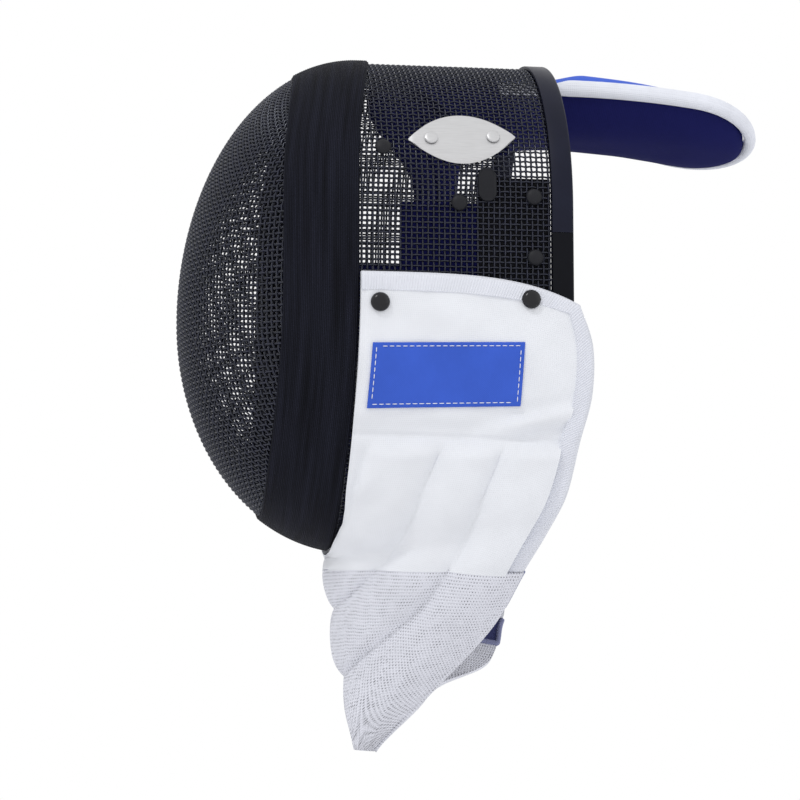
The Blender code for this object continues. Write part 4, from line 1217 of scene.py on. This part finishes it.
def tongue(blue, navy, white):
    inset = PIPING_RADIUS + FIT
    share = 1 - (1 - np.linspace(0, 1, 110)) ** 1.6
    share[-1] = 0.99999
    shares, across = grid(share, np.linspace(-1, 1, 61))
    # Past the rear trim the padding fills out
    free = smooth((shares - 0.21) / 0.16)
    height = TONGUE_CROWN * mix(1.0, 1.0 + 1.25 * shares, free)
    power = mix(2.8, 3.6, free)

    def surface(height, power, offset):
        body = tongue_body(shares, across, height, power)
        points = tongue_point(shares, across, body + offset, inset)
        return points + stack(0, 0, crumple(points, 0.03, 0.0006))

    top = walled("tongue_top", surface(height, power, 0.0), surface(height, power, -COVER_WALL), blue,
                 "tongue_cloth", ["tongue_cover"])
    belly = walled("tongue_belly", surface(height, power, -COVER_WALL - FIT),
                   surface(-TONGUE_DEPTH, 3.0, -COVER_WALL - 2 * FIT - 0.001), navy, "tongue_lining",
                   ["tongue_lining"])
    start = 1 - TONGUE_HALF_WIDTH / TONGUE_LENGTH
    straight = np.linspace(0, start, 160)
    tip = start + (1 - start) * np.sin(np.linspace(0, pi / 2, 90)[1:])
    half = np.concatenate([straight, tip])
    path_share = np.concatenate([half, half[-2::-1]])
    side = np.concatenate([-np.ones(len(half) - 1), [0], np.ones(len(half) - 1)])
    line = tongue_point(path_share, side, -COVER_WALL)
    run = run_along(line)
    even = np.linspace(0, run[-1], 620)
    line = at_runs(even, run, line)
    radius = PIPING_RADIUS - 0.00018 * (0.5 - 0.5 * np.cos(2 * pi * even / PIPING_RIB))
    rings = tube(line, radius, np.array([0, 0, 1.0]), sides=20)
    # Past the trim the binding stands taller than it is wide
    tall = smooth((line[:, 0] - 0.057) / 0.012)[:, None]
    rise = rings[..., 2] - line[:, None, 2]
    rings[..., 2] += tall * np.where(rise > 0, 0.62 * rise, 0.1 * rise)
    turn = np.linspace(-pi, pi, 20, endpoint=False)
    flat = stack(even[:, None], PIPING_RADIUS * np.abs(turn)[None], 0.0).reshape(-1, 3)
    piping = from_rings("knitted_piping", rings, white, "piping", ["tongue_piping"], flat)


# Floor, light and camera

def stage():
    turn = np.linspace(0, 2 * pi, 96, endpoint=False)
    rim = stack(FLOOR_RADIUS * np.cos(turn), FLOOR_RADIUS * np.sin(turn), FLOOR_Z)
    mesh = bpy.data.meshes.new("floor")
    mesh.from_pydata(rim.tolist(), [], [list(range(len(turn)))])
    made = Finish("pale_floor", (0.86, 0.86, 0.87), 0.7)
    made.tint(made.noise(made.place(), 0.4), grey(0.99), grey(1.01))
    mesh.materials.append(made.material)
    floor = linked("floor", mesh)

    world = bpy.data.worlds.new("studio")
    world.use_nodes = True
    sky = world.node_tree.nodes["Background"].inputs
    sky["Color"].default_value = (1.0, 1.0, 1.0, 1.0)
    sky["Strength"].default_value = WORLD_LIGHT
    bpy.context.scene.world = world
    for name, place, size, power in LIGHTS:
        light = bpy.data.lights.new(name, "AREA")
        light.size = size
        light.energy = power
        lamp = linked(name, light)
        lamp.location = place
        lamp.rotation_euler = (Vector(place) - TARGET).to_track_quat("Z", "Y").to_euler()
    bpy.context.scene.view_settings.view_transform = "Standard"


def camera():
    level = np.cos(ELEVATION)
    back = Vector((np.sin(AZIMUTH) * level, -np.cos(AZIMUTH) * level, np.sin(ELEVATION)))
    lens = bpy.data.cameras.new("camera")
    lens.sensor_width = SENSOR
    lens.lens = SENSOR * DISTANCE / (FRAME_PIXELS * PIXEL)
    seen = linked("camera", lens)
    seen.location = TARGET + back * DISTANCE
    seen.rotation_euler = (-back).to_track_quat("-Z", "Y").to_euler()
    bpy.context.scene.camera = seen


def main():
    wire = wire_finish()
    white = woven("white_cloth", (0.775, 0.792, 0.835), 0.0012, 0.00006, mottle=0.05)
    lining = knit("navy_lining", (0.04, 0.045, 0.14), 0.0012, 0.0009, 0.00006, low=0.7)
    silver = knit("silver_knit", (0.72, 0.73, 0.80), 0.0021, 0.0017, 0.00032, low=0.24, roughness=0.7)
    edging = woven("periwinkle_edging", (0.30, 0.32, 0.52), 0.0009, 0.00008, mottle=0.2)
    tape = woven("ribbed_tape", (0.745, 0.762, 0.825), 0.0008, 0.00005)
    blue = woven("blue_patch", (0.047, 0.118, 0.60), 0.0007, 0.00008, mottle=0.12, turn=0.785)
    blue_knit = knit("blue_knit", (0.047, 0.118, 0.60), 0.0010, 0.0009, 0.00006, low=0.8)
    navy = knit("navy_knit", (0.0090, 0.0105, 0.084), 0.0011, 0.0009, 0.00006, low=0.8, specular=0.08)
    piping = knit("white_piping", (0.77, 0.79, 0.86), 0.0011, 0.0013, 0.00012, low=0.8)
    black = woven("black_webbing", (0.012, 0.012, 0.015), 0.0012, 0.0001, mottle=0.15)
    dome_wires(wire)
    crown_wires(wire)
    seam_band(band_finish())
    trims(plastic("grey_plastic", (0.0100, 0.0112, 0.0230), 0.42, specular=0.11),
          plastic("black_plastic", (0.0032, 0.0036, 0.0060), 0.36, specular=0.10))
    bib(white, silver, tape, lining, edging)
    label_patch(blue, woven("stitch_thread", (0.82, 0.84, 0.90), 0.0003, 0.00002))
    hardware(plastic("matte_head", (0.009, 0.0095, 0.013), 0.5, specular=0.25),
             plastic("glossy_head", (0.006, 0.006, 0.008), 0.20),
             brushed("brushed_plate", (0.60, 0.60, 0.61), 0.38),
             plastic("matte_tab", (0.009, 0.0095, 0.013), 0.5, specular=0.2))
    pads(navy, black)
    tongue(blue_knit, navy, piping)
    camera()
    stage()


main()
